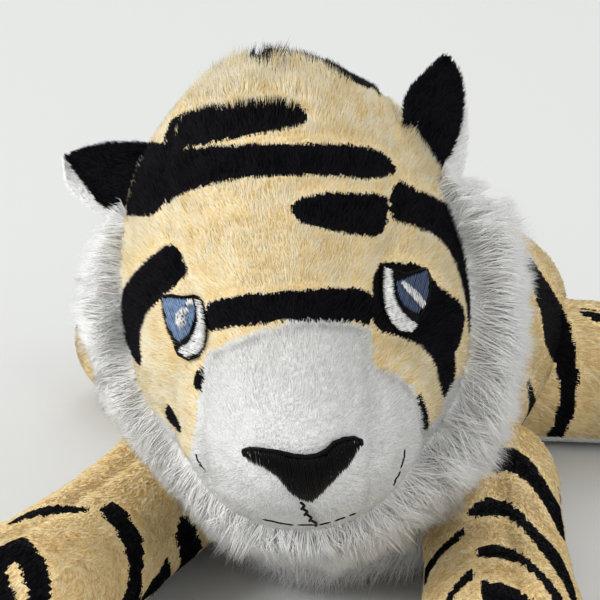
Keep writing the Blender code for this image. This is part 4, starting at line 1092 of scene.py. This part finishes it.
def tubes(name, spines, half_width, half_height, normals, material):
    """Threads with an oval section along spines, drawn in at both ends."""
    places, groups, start = [], [], 0
    turn = np.linspace(0, 2 * math.pi, THREAD_SIDES, endpoint=False)
    for spine, upward in zip(spines, normals):
        count = len(spine)
        along = unit(np.gradient(spine, axis=0))
        across = unit(np.cross(along, upward))
        share = np.linspace(0, 1, count)
        taper = np.clip(np.minimum(share, 1 - share) * count, 0.25, 1)[:, None, None]
        ring = (across[:, None] * np.cos(turn)[None, :, None] * half_width
                + upward[:, None] * np.sin(turn)[None, :, None] * half_height)
        places.append((spine[:, None] + ring * taper).reshape(-1, 3))
        index = start + np.arange(count * THREAD_SIDES).reshape(count, THREAD_SIDES)
        after = np.roll(index, -1, axis=1)
        groups.append(np.stack([index[:-1], index[1:], after[1:], after[:-1]], axis=-1).reshape(-1, 4))
        corner = np.arange(1, THREAD_SIDES - 1)
        for ring, first, second in ((index[0], corner, corner + 1), (index[-1], corner + 1, corner)):
            groups.append(np.stack([np.full(len(corner), ring[0]), ring[first], ring[second]], axis=1))
        start += count * THREAD_SIDES
    piece = mesh_object(name, np.concatenate(places), groups)
    piece.data.materials.append(material)
    return piece


def on_face(points, lift):
    """Places a little above the head's skin at points of the photograph, with the skin's normals."""
    points = np.asarray(points, float)
    aim = points
    for _ in range(3):
        found = [seen_at(head_surface, *point) for point in aim]
        normals = unit(np.array([normal for _, normal in found]))
        places = np.array([place for place, _ in found]) + normals * np.asarray(lift)[:, None]
        aim = aim + points - photo_points(places)
    return places, normals


def satin(name, outline, slant, lift, material, swell=0.0003):
    """Satin stitches that fill an outline of the photograph, each slanting by this many degrees."""
    outline = np.array(outline, float)
    slant = math.radians(slant)
    course, step = np.array((math.cos(slant), math.sin(slant))), np.array((-math.sin(slant), math.cos(slant)))
    rows = outline @ step
    spines, normals = [], []
    for row in np.arange(rows.min() + THREAD_STEP / 2, rows.max(), THREAD_STEP):
        crossings = []
        for start, end in zip(outline, np.roll(outline, -1, axis=0)):
            low, high = start @ step - row, end @ step - row
            if (low > 0) != (high > 0):
                crossings.append((start + (end - start) * low / (low - high)) @ course)
        for first, last in zip(sorted(crossings)[::2], sorted(crossings)[1::2]):
            first, last = first - chance.uniform(0, 1), last + chance.uniform(0, 1)
            count = max(int((last - first) / 2.2), 4)
            share = np.linspace(0, 1, count)
            points = step * (row + chance.normal() * 0.12)
            points = points + course * (first + (last - first) * share)[:, None]
            height = lift + swell * np.sin(math.pi * share) ** 0.6 + chance.normal() * 0.00003
            spine, upward = on_face(points, height)
            spines.append(spine)
            normals.append(upward)
    half_width = THREAD_WIDTH * PIXEL / 2
    return tubes(name, spines, half_width, half_width * 0.8, normals, material)


def thread_line(name, lines, width, lift, material):
    """Threads along lines of the photograph, one for each line."""
    spines, normals = [], []
    for line in lines:
        line = np.array(line, float)
        steps = np.linspace(0, len(line) - 1, max(6 * (len(line) - 1), 6))
        points = np.stack([np.interp(steps, range(len(line)), line[:, column]) for column in (0, 1)], axis=1)
        spine, upward = on_face(points, np.full(len(points), lift))
        spines.append(spine)
        normals.append(upward)
    half_width = width * PIXEL / 2
    return tubes(name, spines, half_width, half_width * 0.75, normals, material)


for side_name, bed, crescent, iris, glints, rim, slant, blue in (
        ("right", RIGHT_EYE_BED, RIGHT_EYE_WHITE, RIGHT_EYE_IRIS, RIGHT_EYE_GLINTS, RIGHT_EYE_RIM, 20,
         LIGHT_BLUE_THREAD),
        ("left", LEFT_EYE_BED, LEFT_EYE_WHITE, LEFT_EYE_IRIS, LEFT_EYE_GLINTS, LEFT_EYE_RIM, -15,
         DEEP_BLUE_THREAD)):
    eye = "eye_" + side_name + "_"
    black_bed = satin(eye + "outline_thread", bed, slant, BED_LIFT, BLACK_THREAD)
    dress(black_bed, "head", "black_thread", eye + "outline")
    dress(thread_line(eye + "rim_thread", rim, 2.2, FACE_LIFT, BLACK_THREAD), "head", "black_thread")
    white = satin(eye + "white_thread", crescent, slant, FACE_LIFT, WHITE_THREAD)
    dress(white, "head", "white_thread", eye + "white")
    dress(satin(eye + "iris_thread", iris, 90 - slant, FACE_LIFT, blue), "head", "iris_thread", eye + "iris")
    for index, glint in enumerate(glints):
        stitches = satin(eye + "glint_thread_" + str(index), glint, 75, GLINT_LIFT, WHITE_THREAD)
        dress(stitches, "head", "white_thread", eye + "glint")

nose = satin("nose_thread", NOSE_OUTLINE, 82, FACE_LIFT, BLACK_THREAD, 0.0012)
dress(nose, "head", "black_thread", "nose_embroidery")
nose_rim = thread_line("nose_rim_thread", NOSE_RIM, 4.5, NOSE_RIM_LIFT, BLACK_THREAD)
dress(nose_rim, "head", "black_thread")
mouth = thread_line("mouth_thread", MOUTH_STITCHES, 3.2, MOUTH_LIFT, BLACK_THREAD)
dress(mouth, "head", "black_thread", "mouth_embroidery")
muzzle_seam = thread_line("muzzle_seam_thread", MUZZLE_SEAM_STITCHES, 2, SEAM_LIFT, BLACK_THREAD)
dress(muzzle_seam, "head", "black_thread")


# Legs: stuffed tubes of striped plush that lie flat, each with a seam along its top. The forelegs reach
# forward, the hind legs out to the sides.
FORELEG_ROOT = (0.0259, -0.0270)
FORELEG_RADII = (0.0125, 0.0116, 0.0127)
FORELEG_LENGTH = 0.0800
FORELEG_SPLAY = math.radians(13.5)
HIND_LEG_ROOT = (0.0250, 0.0270)
HIND_LEG_RADII = (0.0140, 0.0136, 0.0122)
HIND_LEG_LENGTH = 0.0400
HIND_LEG_SPLAY = math.radians(98)
PILE_PRESS = 0.0005
LEG_RINGS = 90
LEG_SIDES = 80
LEG_PILE = 0.0015
LEG_UNDERSIDE_HEIGHT = 0.0030
LEG_WHITE_HEIGHT = 0.0035         # the soles are white below this
FORELEG_INNER_SWELL = 0.35        # the forelegs' inner sides bulge towards the paws


def leg_form(name, side, root_place, splay, radii, length, swell):
    """A leg's skin and a function that gives the place on it at (along, turn)."""
    root, middle, paw = radii
    forward = np.array((side * math.sin(splay), -math.cos(splay), 0))
    across = np.array((math.cos(splay), side * math.sin(splay), 0))
    pivot = np.array((side * root_place[0], root_place[1], 0))

    def at(along, turn):
        along, turn = np.asarray(along, float)[..., None], np.asarray(turn, float)[..., None]
        share = np.clip(along / (length - paw), 0, 1)
        full = root * (1 - share) + paw * share + (middle - (root + paw) / 2) * np.sin(math.pi * share)
        over = np.where(along < 0, along / root, np.maximum(along - (length - paw), 0) / paw)
        radius = (full - PILE_DEPTH) * np.sqrt(np.maximum(1 - over ** 2, 0))
        height = np.array((0, 0, 1)) * (full - PILE_PRESS + radius * np.cos(turn))
        outward = np.sin(turn) * np.where(np.sin(turn) < 0, 1 + swell * share, 1)
        return pivot + forward * along + across * side * outward * radius + height

    polar = np.linspace(0, math.pi, LEG_RINGS + 2)[1:-1]
    along = -root + PILE_DEPTH + (length + root - 2 * PILE_DEPTH) * (1 - np.cos(polar)) / 2
    turn = np.linspace(0, 2 * math.pi, LEG_SIDES, endpoint=False)
    skin = ringed_skin(name, at(along[:, None], turn[None, :]))
    seam = at(np.linspace(0, length - paw / 2, 40), np.zeros(40))
    move_points(skin, lie_flat(drawn_in(skin, [seam], SEAM_DEPTH)))
    return skin, at


def leg_stroke(at, *marks):
    """A stroke through marks (along, turn outward from the top, width), in millimetres and degrees."""
    marks = rounded(marks)
    return at(marks[:, 0] / 1000, np.radians(marks[:, 1])), marks[:, 2] / 2000


LEG_PATCHES = {
    "foreleg_left": (
        ((477, 464), (489, 452), (503, 447), (521, 451), (534, 464), (550, 488), (563, 513), (569, 534),
         (571, 548), (563, 540), (553, 521), (542, 500), (531, 485), (516, 474), (502, 470), (482, 473)),
        ((465, 513), (476, 503), (486, 497), (504, 501), (521, 511), (537, 529), (557, 549), (567, 568),
         (575, 590), (579, 606), (572, 604), (564, 583), (548, 560), (534, 542), (522, 527), (508, 518),
         (494, 515), (466, 517)),
        ((474, 549), (486, 544), (497, 544), (515, 550), (531, 560), (547, 576), (560, 592), (566, 606),
         (556, 606), (549, 592), (538, 578), (525, 566), (508, 560), (492, 557), (476, 560)),
        ((481, 578), (485, 582), (504, 583), (524, 592), (536, 606), (482, 606)),
        ((464, 528), (466, 534), (452, 546), (438, 560), (429, 573), (425, 588), (421, 580), (428, 562),
         (443, 544), (456, 533)),
        ((474, 568), (477, 575), (466, 583), (456, 594), (450, 606), (442, 606), (452, 588), (463, 575)),
        ((404, 563), (410, 570), (416, 580), (420, 592), (411, 587), (405, 577)),
    ),
    "foreleg_right": (
        ((52, 491), (58, 479), (72, 466), (88, 457), (99, 457), (88, 468), (74, 478), (62, 486)),
        ((2, 527), (18, 517), (36, 508), (58, 505), (72, 506), (92, 508), (84, 513), (66, 513), (48, 515),
         (28, 518), (14, 523)),
        ((97, 510), (104, 504), (113, 503), (122, 508), (133, 521), (140, 534), (144, 548), (145, 562),
         (141, 578), (137, 592), (134, 606), (121, 606), (127, 590), (129, 572), (127, 555), (120, 538),
         (112, 526), (104, 516)),
        ((177, 517), (187, 515), (193, 526), (199, 540), (207, 555), (205, 572), (194, 590), (177, 604),
         (172, 600), (179, 582), (180, 560), (177, 540)),
        ((138, 604), (150, 584), (162, 567), (167, 556), (171, 570), (170, 588), (166, 606), (140, 610)),
        ((-30, 552), (0, 545), (14, 540), (24, 536), (34, 546), (42, 556), (47, 568), (50, 584), (51, 612),
         (29, 612), (28, 590), (24, 574), (17, 564), (9, 563), (6, 572), (10, 586), (15, 600), (17, 612),
         (-30, 612)),
    ),
    "hind_leg_left": (
        TORSO_PATCHES[0],
        ((575, 306), (589, 309), (604, 314), (620, 322), (620, 332), (600, 324), (586, 317)),
        ((572, 462), (580, 457), (588, 458), (586, 464), (576, 467)),
    ),
}
LEG_BANDS = {
    "foreleg": (((6, 84, 3), (8, 110, 5), (8, 140, 3)), ((22, 86, 3), (24, 112, 5), (24, 140, 3)),
                ((40, 88, 4), (42, 114, 5), (40, 140, 3)), ((58, 88, 4), (58, 114, 5), (56, 140, 3)),
                ((4, -88, 2), (6, -112, 4), (6, -140, 3)), ((26, -88, 2), (27, -112, 4), (26, -140, 3)),
                ((48, -88, 2), (48, -112, 4), (46, -140, 3))),
    "hind_leg": (((7, 25, 2), (8, 55, 5), (6, 95, 3)), ((19, -50, 2), (20, 0, 4.5), (19, 60, 3)),
                 ((30, -75, 2), (30, -25, 5), (30, 30, 5), (30, 80, 2)), ((39, -50, 3), (40, 20, 3))),
}


def make_leg(limb, side, side_name, root_place, splay, radii, length, swell):
    """A leg's skin and pile, with the stripes that the photograph shows and bands all round where it
    doesn't."""
    leg = limb + "_" + side_name
    skin, at = leg_form(leg + "_skin", side, root_place, splay, radii, length, swell)
    surface = surface_of(skin)
    bands = [leg_stroke(at, *marks) for marks in LEG_BANDS[limb]]
    combing = np.array((side * math.sin(splay), -math.cos(splay), -0.3))

    def outside_leg_black(places):
        return np.minimum(outside_strokes(places, bands),
                          outside_patches(places, surface, LEG_PATCHES.get(leg, ())))

    def leg_colour(places):
        black = outside_leg_black(places) < 0
        return np.where(places[:, 2] < LEG_WHITE_HEIGHT, WHITE_GROUND,
                        np.where(black, BLACK_GROUND, TAN_GROUND))

    def leg_pile_length(places):
        pressed = places[:, 2] < LEG_UNDERSIDE_HEIGHT
        return np.where(pressed, PRESSED_PILE, LEG_PILE) * edge_share(outside_leg_black(places))

    paint_ground(skin, leg_colour)
    dress(skin, leg, "striped_plush", leg + "_inner", leg + "_outer", leg + "_stuffing", fill=0.8)
    pile = grow_pile(leg + "_pile", skin, leg_colour, per_square_mm=5.8, combing=combing,
                     length=leg_pile_length, radius=0.00013, lift=LYING_LIFT, depth=BODY_PAINTED_SHADE_DEPTH)[0]
    dress(pile, leg, "striped_plush")


for limb, *form in (
        ("foreleg", FORELEG_ROOT, FORELEG_SPLAY, FORELEG_RADII, FORELEG_LENGTH, FORELEG_INNER_SWELL),
        ("hind_leg", HIND_LEG_ROOT, HIND_LEG_SPLAY, HIND_LEG_RADII, HIND_LEG_LENGTH, 0)):
    for side, side_name in ((1, "left"), (-1, "right")):
        make_leg(limb, side, side_name, *form)


# Tail: a thin stuffed tube ringed with black. It comes down from the rump and sweeps to the right over
# the ground.
TAIL_ROOT = np.array((0, 0.0580, 0.0140))
TAIL_RADII = (0.0062, 0.0056)
TAIL_LENGTH = 0.0880
TAIL_DROP_LENGTH = 0.0260
TAIL_CURL = 0.0360
TAIL_RING_STEP = 0.0130
TAIL_RING_WIDTH = 0.0050
TAIL_TIP_LENGTH = 0.0120
TAIL_UNDERSIDE_HEIGHT = 0.0020
TAIL_PILE = 0.0016
TAIL_PRESSED_PILE = 0.0007
TAIL_SIDES = 40
TAIL_RINGS = 130

rings = []
root_radius, tip_radius = TAIL_RADII
lowest = tip_radius - PILE_PRESS - TAIL_ROOT[2]
for polar in np.linspace(0, math.pi, TAIL_RINGS + 2)[1:-1]:
    reach = TAIL_LENGTH + root_radius - 2 * PILE_DEPTH
    along = -root_radius + PILE_DEPTH + reach * (1 - math.cos(polar)) / 2
    share = min(max(along / (TAIL_LENGTH - tip_radius), 0), 1)
    over = along / root_radius if along < 0 else max(along - TAIL_LENGTH + tip_radius, 0) / tip_radius
    full = root_radius * (1 - share) + tip_radius * share - PILE_DEPTH
    radius = full * math.sqrt(max(1 - over ** 2, 0))
    fall, sweep = min(max(along / TAIL_DROP_LENGTH, 0), 1), max(along / TAIL_LENGTH, 0)
    slope = lowest * 6 * fall * (1 - fall) / TAIL_DROP_LENGTH
    heading = unit(np.array((-2 * TAIL_CURL * sweep / TAIL_LENGTH, 1, slope)))
    across = unit(np.array((heading[1], -heading[0], 0)))
    middle = TAIL_ROOT + np.array((-TAIL_CURL * sweep ** 2, along, lowest * fall * fall * (3 - 2 * fall)))
    turn = np.linspace(0, 2 * math.pi, TAIL_SIDES, endpoint=False)[:, None]
    rings.append(middle + radius * (across * np.cos(turn) + np.cross(across, heading) * np.sin(turn)))
tail_skin = ringed_skin("tail_cloth", np.array(rings))
move_points(tail_skin, lie_flat(mesh_points(tail_skin)))


def tail_colour(places):
    along = places[:, 1] - TAIL_ROOT[1] + drift(places, 0.004) * 0.0006
    along = along + np.abs(places[:, 0] + TAIL_CURL * (along / TAIL_LENGTH) ** 2) * 0.15
    ringed = np.mod(along, TAIL_RING_STEP) < TAIL_RING_WIDTH
    return np.where(ringed | (along > TAIL_LENGTH - TAIL_TIP_LENGTH), BLACK_GROUND, TAN_GROUND)


def along_tail(places):
    along = np.clip((places[:, 1] - TAIL_ROOT[1]) / TAIL_LENGTH, 0, 1)
    return np.stack([-2 * TAIL_CURL / TAIL_LENGTH * along, np.ones(len(places)),
                     np.full(len(places), -0.2)], axis=1)


def tail_pile_length(places):
    return np.where(places[:, 2] < TAIL_UNDERSIDE_HEIGHT, TAIL_PRESSED_PILE, TAIL_PILE)


paint_ground(tail_skin, tail_colour)
dress(tail_skin, "tail", "striped_plush", "tail_skin", "tail_stuffing", fill=0.8)
tail_pile = grow_pile("tail_pile", tail_skin, tail_colour, per_square_mm=5.8, combing=along_tail,
                      length=tail_pile_length, radius=0.00012, lift=LYING_LIFT, depth=BODY_PAINTED_SHADE_DEPTH)[0]
dress(tail_pile, "tail", "striped_plush")


# Studio: a wide pale floor, which is also the background, under large soft lights.
FLOOR_HALF_WIDTH = 3.0
floor_corners = [(x * FLOOR_HALF_WIDTH, y * FLOOR_HALF_WIDTH, 0)
                 for x, y in ((-1, -1), (1, -1), (1, 1), (-1, 1))]
floor = mesh_object("floor", floor_corners, [[(0, 1, 2, 3)]], smooth=False)
floor_material, floor_nodes, floor_links, floor_shader = node_material("floor_paper")
floor_grain = floor_nodes.new("ShaderNodeTexNoise")
floor_grain.inputs["Scale"].default_value = 900
floor_bump = floor_nodes.new("ShaderNodeBump")
floor_bump.inputs["Distance"].default_value = 0.00005
floor_links.new(floor_grain.outputs["Fac"], floor_bump.inputs["Height"])
floor_links.new(floor_bump.outputs["Normal"], floor_shader.inputs["Normal"])
floor_shader.inputs["Base Color"].default_value = (0.655, 0.665, 0.66, 1)
floor_shader.inputs["Roughness"].default_value = 0.95
floor.data.materials.append(floor_material)

for name, spot, size, power in (("key_light", (-1.00, -0.75, 0.85), 0.8, 13.0),
                                ("fill_light", (0.95, -0.70, 0.80), 0.9, 4.0),
                                ("back_light", (-0.20, 0.95, 1.00), 0.9, 4.0)):
    lamp = bpy.data.lights.new(name, "AREA")
    lamp.shape = "DISK"
    lamp.size = size
    lamp.energy = power
    lamp_object = bpy.data.objects.new(name, lamp)
    lamp_object.location = spot
    lamp_object.rotation_euler = (CAMERA_TARGET - Vector(spot)).to_track_quat("-Z", "Y").to_euler()
    scene.collection.objects.link(lamp_object)

world = bpy.data.worlds.new("studio")
world.use_nodes = True
world.node_tree.nodes["Background"].inputs["Color"].default_value = (0.94, 0.94, 0.93, 1)
world.node_tree.nodes["Background"].inputs["Strength"].default_value = 0.73
scene.world = world
scene.view_settings.view_transform = "Standard"

bpy.context.view_layer.update()
